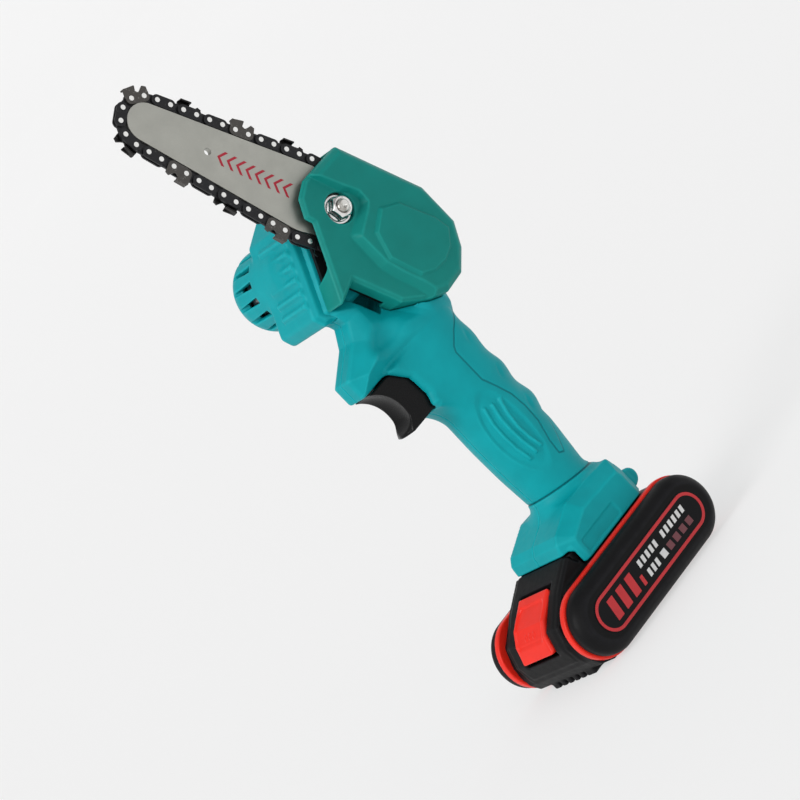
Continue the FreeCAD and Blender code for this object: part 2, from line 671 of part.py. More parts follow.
def make_housing(spindle, idler):
    motor = (size("motor_x"), size("motor_z"))
    grip = loft_of_rings("grip_outer", GRIP_RINGS, 0.0)
    neck = prism("neck_outer", NECK_EDGE, "neck_half", "2 * neck_half")
    case = prism("gearcase_outer", COVER_EDGE, "case_near", "case_near - case_far")
    foot = prism("foot_outer", FOOT_EDGE, "foot_half", "2 * foot_half")
    lug = rod("lanyard_lug", (-40.5, 41.5), 4.5, 14.5, 5.0)
    lug_root = box("lug_root", (-41, 9.5, 37.0), (-34, 14.5, 46.0))
    outer = fuse("body_outer", grip, neck, case, foot, lug, lug_root)
    block = prism("block_outer", BLOCK_EDGE, "block_near", "block_near - block_far")
    block_all = fuse("motor_housing", block, motor_cap(motor), *block_ribs())

    inner_rings = [(40.0,) + GRIP_RINGS[0][1:]] + GRIP_RINGS[1:-1] + [(152.0, -20.5, 18.5, 16.0)]
    rooms = [
        loft_of_rings("grip_room", inner_rings, size("wall") + 0.4),
        box("switch_room", (-35.0, -7.6, 129.0), (-8.0, 7.6, 154.8)),
        box("trigger_room", (-11.0, "0 - trigger_half - trigger_gap", 129.0),
            (40.0, "trigger_half + trigger_gap", 155.8)),
        box("wire_room", (-30.0, -5.0, 150.0), (-16.0, 5.0, 186.0)),
        box("foot_room", (-33.0, -22.0, 30.0), (14.6, 22.0, 50.0)),
        box("foot_mouth", (10.0, -22.3, 30.0), (40.0, 22.3, 45.0)),
        rod("motor_room", motor, "motor_radius + 0.15", "motor_near + 0.2", 44.0),
        rod("motor_air_room", motor, 17.0, -31.5, 14.0),
        rod("motor_back_room", motor, 8.0, -46.0, 7.0),
        rod("motor_shaft_room", motor, 6.0, 10.0, 15.5),
        rod("gear_room", spindle, 19.4, 10.0, 12.0),
        rod("idler_room", idler, 10.4, 10.0, 12.0),
        rod("far_bearing_room", spindle, 9.5, 0.0, 9.7),
        rod("idler_pin_room", idler, 2.52, 0.0, 4.0),
        rod("stud_room", bar_point(size("stud_at"), 0), 3.05, 8.0, 10.0),
        prism("tension_room", tension_pocket(), 9.1, 4.6),
    ]
    bosses = [rod("screw_boss_%d" % i, place, 4.4, 20.0, 40.0) for i, place in enumerate(GRIP_SCREWS)]
    hollow = cut("body_rooms", fuse("rooms_fused", *rooms), *bosses)
    left_half = common("left_half", outer, half_room(1))
    right_half = common("right_half", outer, half_room(-1))
    left_lips = box("left_lip", (-33.0, 19.0, 36.6), (14.0, 22.4, 38.6))
    right_lips = box("right_lip", (-33.0, -22.4, 36.6), (14.0, -19.0, 38.6))
    gully = prism("chip_gully", beside_slot(1.0, 6.0), 20.0, "20 - case_near")
    cover_space = prism("cover_space", offset_outline(COVER_EDGE, -0.25), 40.0, "40 - case_near")
    left_open = cut("left_open", left_half, hollow, block, cover_space, gully)
    right_solid = fuse("right_solid", right_half, block_all)
    right_open = cut("right_open", right_solid, hollow)
    left = fuse("left_shell", left_open, left_lips)
    right = fuse("right_shell", right_open, right_lips)
    screws, holes = make_screws()
    node("housing_left", cut("left_bored", left, holes))
    node("housing_right", cut("right_bored", right, holes))
    node("housing_screws", screws)


def make_screws():
    """Pan-head screws from the right, each in a counterbored hole through both halves."""
    solids = []
    holes = []
    for index, place in enumerate(GRIP_SCREWS + OTHER_SCREWS):
        solids.append(rod("screw_shank_%d" % index, place, 1.5, 6.0, 15.0))
        solids.append(rod("screw_head_%d" % index, place, 2.9, -9.0, 2.4))
        holes.append(rod("screw_hole_%d" % index, place, 1.55, 6.05, 15.1))
        holes.append(rod("screw_sink_%d" % index, place, 3.1, -8.99, 30.0))
    return fuse("screws_fused", *solids), fuse("screw_holes", *holes)


# ---------------------------------------------------------------- cover and its fastening

OCTAGON = [(-24.0, 206.5), (-38.0, 213.0), (-49.0, 208.0), (-56.5, 190.0), (-54.0, 179.0),
           (-44.0, 171.8), (-33.0, 171.8), (-27.0, 177.0), (-20.5, 193.0)]

RAISED_EDGE = [(-23.0, 242.0, 0.5), (-43.6, 242.0, 2.0), (-62.4, 201.0, 6.0), (-62.4, 180.0, 6.0),
               (-55.5, 169.5, 8.0), (-46.0, 162.2, 10.0), (-34.0, 161.2, 8.0), (-27.0, 164.7, 3.0),
               (-19.0, 173.0, 3.0), (-13.0, 191.5, 2.0), (-17.5, 209.0, 3.0), (-32.0, 218.0, 4.0)]


MOUTH_CORNERS = ((40.0, -26.4), (40.0, 27.4), (99.5, 27.4), (92.0, -26.4))


def make_cover(spindle):
    shell = prism("cover_shell", COVER_EDGE, "cover_face", "cover_face - case_near - 0.1")
    raised = prism("cover_raised", RAISED_EDGE, "cover_face + cover_raise", "cover_raise + 1", 0.0)
    plateau = prism("cover_octagon", OCTAGON, "cover_face + cover_raise + 1.4", 2.0)
    nut_place = bar_point(size("stud_at"), 0)
    boss = rod("clamp_boss", nut_place, 9.5, "cover_face", "cover_face - bar_plane - bar_thick / 2")
    solid = fuse("cover_solid", shell, raised, plateau)
    room = prism("cover_room", offset_outline(COVER_EDGE, 1.2),
                 "cover_face - cover_wall", "cover_face - cover_wall")
    mouth = prism("cover_mouth", [bar_point(a, b) for a, b in MOUTH_CORNERS],
                  "cover_face - cover_wall", "cover_face - cover_wall")
    deep_room = rod("sprocket_room", spindle, 17.0, "cover_face + cover_raise - cover_wall", 10.0)
    hollow = cut("cover_hollow", solid, room, mouth, deep_room)
    with_boss = fuse("cover_bossed", hollow, boss)
    washer_seat = rod("washer_seat", nut_place, 7.4, "cover_face + 6", "cover_face + 6 - pad_floor")
    stud_hole = rod("cover_stud_hole", nut_place, 3.3, "cover_face + 6", 20.0)
    chip_slot = prism("chip_slot", beside_slot(3.0, 3.0), 12.2, 6.0)
    node("sprocket_cover", cut("cover_cut", with_boss, washer_seat, stud_hole, chip_slot))


def make_fastening(spindle):
    place = bar_point(size("stud_at"), 0)
    node("bar_stud", rod("stud_rod", place, 3.0, 25.2, 27.2))
    node("cover_washer", ring("washer_ring", place, 6.6, 3.15, "pad_floor + 1.1", 1.1))
    hexagon = []
    for index in range(6):
        angle = math.pi * index / 3 + 0.35
        hexagon.append((place[0] + 5.5 * math.cos(angle), place[1] + 5.5 * math.sin(angle)))
    nut = prism("nut_hexagon", hexagon, 24.2, 5.4)
    flange = rod("nut_flange", place, 5.9, 20.0, 1.2)
    node("cover_nut", cut("nut_cut", fuse("nut_blank", nut, flange), rod("nut_bore", place, 3.0, 25.0, 8.0)))
    plate = prism("plate_blank", offset_outline(COVER_EDGE, 2.0), 9.0, 2.0)
    pad = prism("bar_pad", slot_outline(86.0, 106.0, 6.5), "bar_plane - bar_thick / 2 - 0.02", 3.4)
    bearing_hole = rod("plate_bearing_hole", spindle, 8.5, 12.0, 6.0)
    stud_hole = rod("plate_stud_hole", place, 3.05, 14.0, 10.0)
    block = prism("plate_block_room", BLOCK_EDGE, "block_near + 0.2", 30.0)
    slide = prism("pin_slot", tension_pocket(), 13.0, 7.0)
    solid = cut("plate_cut", fuse("plate_padded", plate, pad), bearing_hole, stud_hole, block, slide)
    node("bar_mount_plate", solid)
    pin_at = bar_point(84.0, 8.0)
    node("tension_pin", rod("pin_rod", pin_at, 2.0, 15.0, 10.2))
    away = bar_point(95.0, 8.0)
    direction = (away[0] - pin_at[0], 0, away[1] - pin_at[1])
    base = bar_point(86.2, 8.0)
    node("tension_screw", rod_along("screw_rod", (base[0], 6.8, base[1]), direction, 1.6, 11.9))


# ---------------------------------------------------------------- trigger and switch

def make_trigger():
    edge = [(26.0, 155.3, 1.0), (20.0, 151.0, 4.0), (17.5, 141.0, 8.0), (20.8, 132.0, 1.5),
            (16.0, 129.6, 2.0), (-4.0, 129.6, 4.0), (-4.0, 155.3, 4.0)]
    blank = prism("trigger_blank", edge, "trigger_half", "2 * trigger_half")
    pocket = rod_along("spring_pocket", (-6.0, 0, 142.0), (1, 0, 0), 4.6, 14.0)
    stem = rod_along("trigger_stem", (-16.5, 0, 142.0), (1, 0, 0), 2.4, 26.0)
    node("trigger", fuse("trigger_fused", cut("trigger_hollow", blank, pocket), stem))
    body = box("switch_block", (-34.6, -7.2, 130.0), (-11.2, 7.2, 154.0))
    well = rod_along("switch_well", (-26.0, 0, 142.0), (1, 0, 0), 2.5, 20.0)
    node("switch_body", cut("switch_cut", body, well))
    outer = rod_along("spring_outer", (-11.0, 0, 142.0), (1, 0, 0), 4.2, 18.6)
    inner = rod_along("spring_inner", (-12.0, 0, 142.0), (1, 0, 0), 3.2, 21.0)
    node("trigger_spring", cut("spring_tube", outer, inner))


# ---------------------------------------------------------------- battery

def stadium(long, high, middle):
    half = high / 2
    left, right = -long / 2, long / 2
    low, top = middle - half, middle + half
    bend = half * 0.999
    return [(left, low, bend), (right, low, bend), (right, top, bend), (left, top, bend)]


CORE_EDGE = [(-46.0, 0.0, 4.0), (36.0, 0.0, 2.0), (46.4, 4.6, 3.0), (50.5, 11.0, 3.0), (51.8, 19.0, 3.0),
             (48.6, 28.2, 6.0), (34.8, 37.3, 6.0), (18.8, 44.6, 0.6), (16.2, 39.4, 0.5),
             (-31.5, 39.4), (-31.5, 36.0), (-46.0, 36.0, 4.0), (-50.0, 28.0, 3.0), (-50.0, 6.0, 3.0)]

SIDE_EDGE = [(-46.0, 0.0, 4.0), (36.0, 0.0, 2.0), (45.2, 4.6, 3.0), (48.2, 10.0, 3.0), (48.8, 19.0, 4.0),
             (43.5, 29.0, 5.0), (29.0, 36.0, 3.0), (-46.0, 36.0, 4.0), (-50.0, 28.0, 3.0),
             (-50.0, 6.0, 3.0)]


def cell_places():
    return [((index - 2) * size("cell_pitch"), size("cell_high")) for index in range(5)]


def make_pack_core():
    core = prism("core_middle", CORE_EDGE, 18.4, 36.8)
    shield = common("core_shield", prism("shield_blank", CORE_EDGE, 22.0, 44.0),
                    box("shield_room", (14.8, -30, -1), (70, 30, 60)))
    sides = prism("core_sides", SIDE_EDGE, "core_half", "2 * core_half")
    runner = box("core_runner", (-31.0, -20.8, 39.0), (17.0, 20.8, 43.9))
    toe = box("core_toe", (34.0, -17.0, 0.0), (47.0, 17.0, 6.0))
    grooves = []
    for index in range(5):
        start = -12.6 + 5.2 * index
        grooves.append(box("toe_groove_%d" % index, (44.6, start, -1.0), (60.0, start + 2.2, 4.6)))
    pocket = prism("button_pocket", [(27.8, 34.4), (28.9, 45.9), (70.0, 45.9), (70.0, 17.2), (47.2, 17.2),
                                     (44.2, 24.2), (39.6, 28.6)],
                   "button_half + button_gap", "2 * button_half + 2 * button_gap")
    bores = [rod("cell_bore_%d" % i, place, "cell_radius + 0.15", 60.0, 120.0)
             for i, place in enumerate(cell_places())]
    board_room = box("board_room", (-40.0, -20.0, 25.4), (24.0, 20.0, 33.0))
    contact_room = box("contact_room", (-32.0, -13.0, 32.0), (-12.0, 13.0, 50.0))
    spring_room = rod_along("latch_spring_room", (33.0, 0, 24.6), (0, 0, 1), 3.2, 9.0)
    solid = fuse("core_fused", core, shield, sides, runner, toe)
    node("battery_core", cut("core_cut", solid, pocket, board_room, contact_room, spring_room,
                             *(bores + grooves)))


def make_pack_side(label, side):
    """A red ring, a black side cap with a tapered face, and a label plate, on one side."""
    long, high = size("pack_long"), size("pack_high")
    middle = high / 2
    core = size("core_half")
    ring_near = core + size("ring_wide")
    step_near = ring_near + size("cap_step")
    face = step_near + size("cap_slope")
    slim = 0.9
    outer = stadium(long, high, middle)
    cap_edge = stadium(long - 2 * slim, high - 2 * slim, middle)
    wall = size("cap_wall")
    inner = stadium(long - 2 * slim - 2 * wall, high - 2 * slim - 2 * wall, middle)
    plate_edge = stadium(84.0, 18.0, middle - 0.4)

    def slab(name, edge, near, depth, taper=0.0):
        top = near if side > 0 else depth - near
        return prism(label + name, edge, str(top), str(depth), taper)
    band = slab("_band", outer, ring_near - 0.05, ring_near - 0.1 - core)
    window = slab("_window", inner, ring_near, ring_near - core)
    node("battery_ring_" + label, cut(label + "_ring_cut", band, window))
    base = slab("_base", cap_edge, step_near, size("cap_step"))
    crown = tapered_crown(label, cap_edge, step_near, side)
    room = slab("_room", inner, step_near + 0.6, step_near + 0.6 - ring_near)
    node("battery_cap_" + label, cut(label + "_cap_cut", fuse(label + "_cap", base, crown), room))
    label_face = face + size("label_thick")
    node("battery_label_" + label, slab("_plate", plate_edge, label_face, size("label_thick")))


def tapered_crown(label, edge, start, side):
    """The side cap's face: a loft from the cap's edge to a smaller one further out."""
    long, high, middle = size("pack_long"), size("pack_high"), size("pack_high") / 2
    rings = ((0.0, 0.9), (2.4, 1.4), (4.4, 2.9), (size("cap_slope"), 5.2))
    wires = []
    for out, inset in rings:
        flat = stadium(long - 2 * inset, high - 2 * inset, middle)
        edges = Part.sortEdges([g.toShape() for g in outline_edges(flat)])[0]
        wire = Part.Wire(edges)
        turn = FreeCAD.Rotation(FreeCAD.Vector(1, 0, 0), 90)
        wire.Placement = FreeCAD.Placement(FreeCAD.Vector(0, side * (start + out), 0), turn)
        wires.append(wire)
    crown = DOC.addObject("Part::Feature", label + "_crown")
    crown.Shape = Part.makeLoft(wires, True, True)
    return crown


def make_pack_inside():
    cells = [rod("cell_%d" % i, p, "cell_radius", "cell_long / 2", "cell_long")
             for i, p in enumerate(cell_places())]
    node("battery_cells", group("cell_group", *cells))
    node("battery_board", box("board_plate", (-38.0, -18.0, 27.0), (22.0, 18.0, 28.6)))
    posts = []
    for index in range(3):
        across = -9.0 + 9.0 * index
        posts.append(box("post_%d" % index, (-30.0, across - 0.5, 28.6), (-14.0, across + 0.5, 41.5)))
    node("battery_terminals", group("post_group", *posts))
    edge = [(31.4, 40.2, 0.8), (45.2, 33.4, 5.0), (50.4, 28.0, 4.0), (53.4, 19.6, 0.8), (50.2, 18.9, 0.5),
            (47.2, 25.8, 3.0), (42.2, 30.4, 3.0), (30.5, 36.4, 0.5)]
    node("release_button", prism("button_blank", edge, "button_half", "2 * button_half"))
    outer = rod_along("latch_outer", (33.0, 0, 24.8), (0, 0, 1), 3.0, 8.4)
    inner = rod_along("latch_inner", (33.0, 0, 24.0), (0, 0, 1), 2.2, 11.0)
    node("latch_spring", cut("latch_tube", outer, inner))


def make_foot_contacts():
    block = box("terminal_base", (-31.0, -14.0, 45.2), (-10.0, 14.0, 49.8))
    slots = []
    blades = []
    for index in range(3):
        across = -9.0 + 9.0 * index
        near, far = across + 0.55, across + 1.45
        slots.append(box("blade_slot_%d" % index, (-29.0, near, 44.0), (-13.0, far, 60.0)))
        blades.append(box("blade_%d" % index, (-29.0, near, 37.0), (-13.0, far, 49.0)))
    node("terminal_block", cut("terminal_cut", block, *slots))
    node("terminal_blades", group("blade_group", *blades))


def check_and_export():
    DOC.recompute()
    faults = []
    for item in DOC.Objects:
        if "Invalid" in item.State or "Error" in item.State:
            faults.append(item.Name + " " + " ".join(item.State))
    for label, solid in NODES.items():
        shape = solid.Shape
        if shape.isNull() or not shape.isValid() or not shape.Solids:
            faults.append(label + " has no valid shape")
    if faults:
        raise SystemExit("failed: " + "; ".join(faults))
    os.makedirs("parts", exist_ok=True)
    for label, solid in NODES.items():
        shape = solid.Shape
        shape.exportStep("parts/%s.step" % label)
        room = shape.BoundBox
        print("%-22s solids %2d volume %9.1f  x %7.1f %7.1f  y %6.1f %6.1f  z %6.1f %6.1f" % (
            label, len(shape.Solids), shape.Volume, room.XMin, room.XMax, room.YMin, room.YMax,
            room.ZMin, room.ZMax))


fill_sheet()
SPINDLE, RIVETS = make_chain()
make_bar()
IDLER = make_gears(SPINDLE)
make_spindle(SPINDLE)
make_sprocket(SPINDLE, RIVETS)
make_motor()
make_housing(SPINDLE, IDLER)
make_cover(SPINDLE)
make_fastening(SPINDLE)
make_trigger()
make_pack_core()
make_pack_side("left", 1)
make_pack_side("right", -1)
make_pack_inside()
make_foot_contacts()
check_and_export()
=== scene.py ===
"""A mini cordless chainsaw on its battery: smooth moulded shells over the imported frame.

Shapes are written as distance fields in millimetres, negative inside, and meshed with surface nets.
"""
import json
import math

import bmesh
import bpy
import numpy as np
from mathutils import Matrix, Vector


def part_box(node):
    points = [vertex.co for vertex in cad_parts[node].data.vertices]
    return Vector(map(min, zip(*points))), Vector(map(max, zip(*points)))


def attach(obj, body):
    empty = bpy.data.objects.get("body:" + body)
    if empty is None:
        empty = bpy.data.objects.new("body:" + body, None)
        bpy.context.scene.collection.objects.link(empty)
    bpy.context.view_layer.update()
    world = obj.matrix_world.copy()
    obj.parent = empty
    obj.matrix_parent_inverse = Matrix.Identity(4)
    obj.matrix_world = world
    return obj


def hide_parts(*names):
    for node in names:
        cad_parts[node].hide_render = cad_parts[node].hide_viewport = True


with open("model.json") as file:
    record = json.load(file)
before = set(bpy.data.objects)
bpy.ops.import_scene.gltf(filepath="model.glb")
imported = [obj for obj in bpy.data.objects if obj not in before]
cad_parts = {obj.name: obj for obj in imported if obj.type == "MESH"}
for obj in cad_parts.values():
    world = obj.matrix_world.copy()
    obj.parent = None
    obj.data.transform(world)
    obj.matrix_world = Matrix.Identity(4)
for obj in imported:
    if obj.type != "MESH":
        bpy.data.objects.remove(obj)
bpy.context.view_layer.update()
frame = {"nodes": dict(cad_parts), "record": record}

MM = 0.001
STEP = 0.6     # spacing of the meshing grid
CRUMB = 60                            # a loose sheet with no more faces than this is left out
COARSE = 4                            # grid steps along the side of a coarse block
HALF_DIAGONAL = 0.87                  # of a cube whose side is 1
STEEPEST = 1.35                       # how much faster than true distance a field may grow
MARGIN = 2.5                          # empty grid steps round a piece
FAR = 10                              # stands for any value well away from the surface
HIGHLIGHT_START = 0.12                     # the turn of the surface at which the painted edge highlight begins


# ---------------- fields

def meet(a, b, bend):
    """What is in both, with the edge rounded to a radius."""
    round_part = np.hypot(np.maximum(a + bend, 0), np.maximum(b + bend, 0))
    return np.minimum(np.maximum(a, b), -bend) + round_part


def join(a, b, bend):
    """Both together, with a fillet of that radius between them."""
    round_part = np.hypot(np.maximum(bend - a, 0), np.maximum(bend - b, 0))
    return np.maximum(np.minimum(a, b), bend) - round_part


def carve(a, b, bend):
    """The first without the second."""
    return meet(a, -b, bend)


def bevelled(a, b, size, bend=0.0):
    """What is in both, with the edge cut off at 45 degrees, and the cut's own edges rounded."""
    cut = (a + b + size) * math.sqrt(0.5)
    if bend:
        return meet(meet(a, b, bend), cut, bend)
    return np.maximum(np.maximum(a, b), cut)


def shrunk(points, inward):
    """A closed outline moved inward, its corners kept."""
    count = len(points)
    area = sum(points[i - 1][0] * points[i][1] - points[i][0] * points[i - 1][1] for i in range(count))
    turn = math.copysign(1, area)
    corners = []
    for index in range(count):
        before, here, after = points[index - 1], points[index], points[(index + 1) % count]
        u = Vector((here[0] - before[0], here[1] - before[1])).normalized()
        v = Vector((after[0] - here[0], after[1] - here[1])).normalized()
        normal = Vector((-(u.y + v.y), u.x + v.x)) * turn / (1 + u.dot(v))
        corners.append((here[0] + normal.x * inward, here[1] + normal.y * inward))
    return corners


def outline(u, v, points, bend=0.0):
    """Distance to a closed outline in a plane, its outer corners rounded."""
    corners = shrunk(points, bend) if bend else points
    nearest = np.full(u.shape, 1e9, np.float32)
    inside = np.zeros(u.shape, bool)
    for index in range(len(corners)):
        (au, av), (bu, bv) = corners[index - 1], corners[index]
        eu, ev = bu - au, bv - av
        wu, wv = u - au, v - av
        along = np.clip((wu * eu + wv * ev) / (eu * eu + ev * ev), 0, 1)
        nearest = np.minimum(nearest, (wu - eu * along) ** 2 + (wv - ev * along) ** 2)
        if av != bv:
            inside ^= ((v < av) != (v < bv)) & (wu < wv * (eu / ev))
    return np.where(inside, -1, 1) * np.sqrt(nearest) - bend


def span(v, low, high):
    return np.abs(v - (low + high) / 2) - (high - low) / 2


def block(x, y, z, low, high, bend=0.4):
    flat = meet(span(x, low[0], high[0]), span(z, low[2], high[2]), bend)
    return meet(flat, span(y, low[1], high[1]), bend)


def drum(u, v, w, centre, radius, low, high, bend=0.4):
    """A round rod along w."""
    return meet(np.hypot(u - centre[0], v - centre[1]) - radius, span(w, low, high), bend)


def string(x, y, z, points):
    """Distance to a line through points in space."""
    nearest = np.full(x.shape, 1e9, np.float32)
    for a, b in zip(points[:-1], points[1:]):
        e = [q - p for p, q in zip(a, b)]
        w = (x - a[0], y - a[1], z - a[2])
        along = np.clip(sum(p * q for p, q in zip(w, e)) / sum(q * q for q in e), 0, 1)
        nearest = np.minimum(nearest, sum((p - q * along) ** 2 for p, q in zip(w, e)))
    return np.sqrt(nearest)


def swell(distance, reach):
    """1 on a line, falling smoothly to 0 at its reach."""
    t = np.clip(1 - distance / reach, 0, 1)
    return t * t * (3 - 2 * t)


def step_up(v, low, high):
    t = np.clip((v - low) / (high - low), 0, 1)
    return t * t * (3 - 2 * t)


# ---------------- meshing

def sample_grid(field, low, counts, step):
    """The field on a grid, worked out only near its surface."""
    blocks = [math.ceil(n / COARSE) for n in counts]
    centres = [low[i] + (np.arange(blocks[i]) * COARSE + (COARSE - 1) / 2) * step for i in range(3)]
    x, y, z = np.meshgrid(*centres, indexing="ij")
    rough = field(x.ravel(), y.ravel(), z.ravel()).reshape(x.shape)
    reach = COARSE * step * HALF_DIAGONAL * STEEPEST + step * 2
    near = np.abs(rough) < reach
    for axis in range(3):
        near = np.repeat(near, COARSE, axis)
        rough = np.repeat(rough, COARSE, axis)
    cut = tuple(slice(0, n) for n in counts)
    near, values = near[cut], np.sign(rough[cut]).astype(np.float32) * FAR
    places = np.nonzero(near)
    points = [(low[i] + places[i] * step).astype(np.float32) for i in range(3)]
    values[places] = field(*points)
    return values


def net_vertices(values, active, step, low):
    """One vertex in each cell that the surface crosses: the mean of its edge crossings."""
    cells = np.nonzero(active)
    total = np.zeros((len(cells[0]), 3), np.float32)
    count = np.zeros(len(cells[0]), np.float32)
    corners = [(i, j, k) for i in (0, 1) for j in (0, 1) for k in (0, 1)]
    for a in corners:
        for axis in range(3):
            if a[axis]:
                continue
            b = tuple(1 if n == axis else a[n] for n in range(3))
            va = values[cells[0] + a[0], cells[1] + a[1], cells[2] + a[2]]
            vb = values[cells[0] + b[0], cells[1] + b[1], cells[2] + b[2]]
            crossed = (va < 0) != (vb < 0)
            share = np.where(crossed, va / np.where(crossed, va - vb, 1), 0)
            for n in range(3):
                total[:, n] += crossed * (a[n] + (share if n == axis else 0))
            count += crossed
    return low + (np.stack(cells, 1) + total / count[:, None]) * step


def net_faces(values, numbers):
    """A quad round each grid edge that the surface crosses."""
    inside = values < 0
    faces = []
    for axis in range(3):
        ahead = [slice(None)] * 3
        behind = [slice(None)] * 3
        ahead[axis], behind[axis] = slice(1, None), slice(0, -1)
        first, second = inside[tuple(behind)], inside[tuple(ahead)]
        p, q = [n for n in range(3) if n != axis]
        places = np.nonzero(first != second)
        keep = (places[p] > 0) & (places[q] > 0)
        keep &= (places[p] < numbers.shape[p]) & (places[q] < numbers.shape[q])
        places = [n[keep] for n in places]
        quad = []
        for dp, dq in ((-1, -1), (0, -1), (0, 0), (-1, 0)):
            cell = list(places)
            cell[p] = places[p] + dp
            cell[q] = places[q] + dq
            quad.append(numbers[tuple(cell)])
        quad = np.stack(quad, 1)
        flip = first[tuple(places)] if axis != 1 else ~first[tuple(places)]
        quad[~flip] = quad[~flip][:, ::-1]
        faces.append(quad)
    return np.concatenate(faces)


def without_crumbs(faces, count):
    """The faces, without the loose crumbs that thin corners leave behind."""
    root = np.arange(count)
    ends = np.concatenate([faces[:, (0, 1)], faces[:, (1, 2)], faces[:, (2, 3)]])
    while True:
        lowest = root[ends].min(axis=1)
        fresh = root.copy()
        for side in (0, 1):
            np.minimum.at(fresh, root[ends[:, side]], lowest)
        fresh = fresh[fresh]
        if np.array_equal(fresh, root):
            break
        root = fresh
    sheets, sizes = np.unique(root[faces[:, 0]], return_counts=True)
    kept = sheets[sizes > CRUMB]
    return faces[np.isin(root[faces[:, 0]], kept)]


def settle(field, vertices, step):
    """Moves the vertices onto the surface itself."""
    reach = step * 0.2
    longest = step * 0.6
    for _ in range(2):
        here = vertices.T.astype(np.float32)
        value = field(*here)
        slope = []
        for axis in range(3):
            moved = here.copy()
            moved[axis] += reach
            slope.append((field(*moved) - value) / reach)
        slope = np.stack(slope, 1)
        size = np.maximum((slope ** 2).sum(1), 0.3)
        shift = slope * (value / size)[:, None]
        vertices = vertices - np.clip(shift, -longest, longest)
    return vertices


def edge_sharpness(field, vertices):
    """How sharply the surface turns outward at each vertex: 0 on a flat, near 1 on a crisp edge; it sets
    where the painted edge highlight goes.
    """
    reach = 0.9
    here = vertices.T.astype(np.float32)
    total = -6 * field(*here)
    for axis in range(3):
        for sign in (-reach, reach):
            moved = here.copy()
            moved[axis] += sign
            total += field(*moved)
    return np.clip(total / reach - HIGHLIGHT_START, 0, 1)


def sculpt(name, field, low, high, material, body, nodes=(), step=None, marks=None):
    """A piece whose surface is where the field is zero; it rides on a body and stands for CAD nodes.

    Each mark is a signed distance in millimetres, kept on the vertices for the material's fine lines.
    """
    step = step or STEP
    low = np.array(low, np.float32) - step * MARGIN
    counts = [int(math.ceil((h + step * MARGIN - l) / step)) + 1 for l, h in zip(low, high)]
    values = sample_grid(field, low, counts, step)
    inside = (values < 0).astype(np.int8)
    total = sum(inside[i:i - 1 or None, j:j - 1 or None, k:k - 1 or None]
                for i in (0, 1) for j in (0, 1) for k in (0, 1))
    active = (total > 0) & (total < 8)
    numbers = np.full(active.shape, -1, np.int32)
    numbers[active] = np.arange(active.sum())
    vertices = settle(field, net_vertices(values, active, step, low), step)
    faces = without_crumbs(net_faces(values, numbers), len(vertices))
    mesh = smooth_mesh(name, (vertices * MM).tolist(), faces.tolist())
    # the sharpness of each edge, kept on the vertices for the painted edge highlight
    values = {"edge_highlight": edge_sharpness(field, vertices)}
    for label, mark in (marks or {}).items():
        values[label] = mark(*vertices.T.astype(np.float32))
    for label, value in values.items():
        layer = mesh.attributes.new(label, "FLOAT", "POINT")
        layer.data.foreach_set("value", value.astype(np.float32))
    mesh.update()
    return add_piece(name, mesh, material, body, nodes)


def put(name, data):
    """A new object in the scene."""
    thing = bpy.data.objects.new(name, data)
    bpy.context.scene.collection.objects.link(thing)
    return thing


def smooth_mesh(name, vertices, faces):
    mesh = bpy.data.meshes.new(name)
    mesh.from_pydata(vertices, [], faces)
    mesh.polygons.foreach_set("use_smooth", [True] * len(mesh.polygons))
    return mesh


def add_piece(name, mesh, material, body, nodes=()):
    """A visible piece: it rides on a body and may stand for CAD nodes."""
    piece = put(name, mesh)
    mesh.materials.append(material[0])
    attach(piece, body)
    if nodes:
        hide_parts(*nodes)
    return piece


# ---------------- places taken from the frame

def low_high(node):
    """The corners of a node's box, in millimetres."""
    low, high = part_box(node)
    return np.array(low) / MM, np.array(high) / MM


def plan(node):
    """The middle of a node seen along Y."""
    low, high = low_high(node)
    centre = (low + high) / 2
    return float(centre[0]), float(centre[2])


def depths(node):
    """Where a node begins and ends along Y."""
    low, high = low_high(node)
    return float(low[1]), float(high[1])


MOTOR = plan("rotor_shaft")
SPINDLE = plan("output_spindle")
STUD = plan("bar_stud")
BAR_LEAN = math.radians(23.8)
NOSE = (14.5, 308.3)


def on_bar(along, across):
    """From the bar's own lines (along from the nose, across to the front) to (x, z)."""
    x = NOSE[0] - along * math.sin(BAR_LEAN) + across * math.cos(BAR_LEAN)
    z = NOSE[1] - along * math.cos(BAR_LEAN) - across * math.sin(BAR_LEAN)
    return x, z


# ---------------- housing

CASE_NEAR, CASE_FAR = 7.0, -14.0
BLOCK_NEAR, BLOCK_FAR = 5.0, -30.0
CAP_RADIUS, CAP_DEEP, CAP_ROUND = 19.8, 27.8, 13.5
GRIP_HEIGHTS = (40, 50, 62, 82, 100, 120, 138, 166, 180)
GRIP_MIDDLES = (-17.5, -18, -18.9, -19.3, -19.9, -19.9, -20, -22, -23)
GRIP_DEPTHS = (18, 17.5, 16.2, 18.3, 19.5, 19, 17.8, 20.5, 22)
GRIP_WIDTHS = (15.8, 15.5, 15.2, 16.6, 17, 17, 16.6, 16, 15)

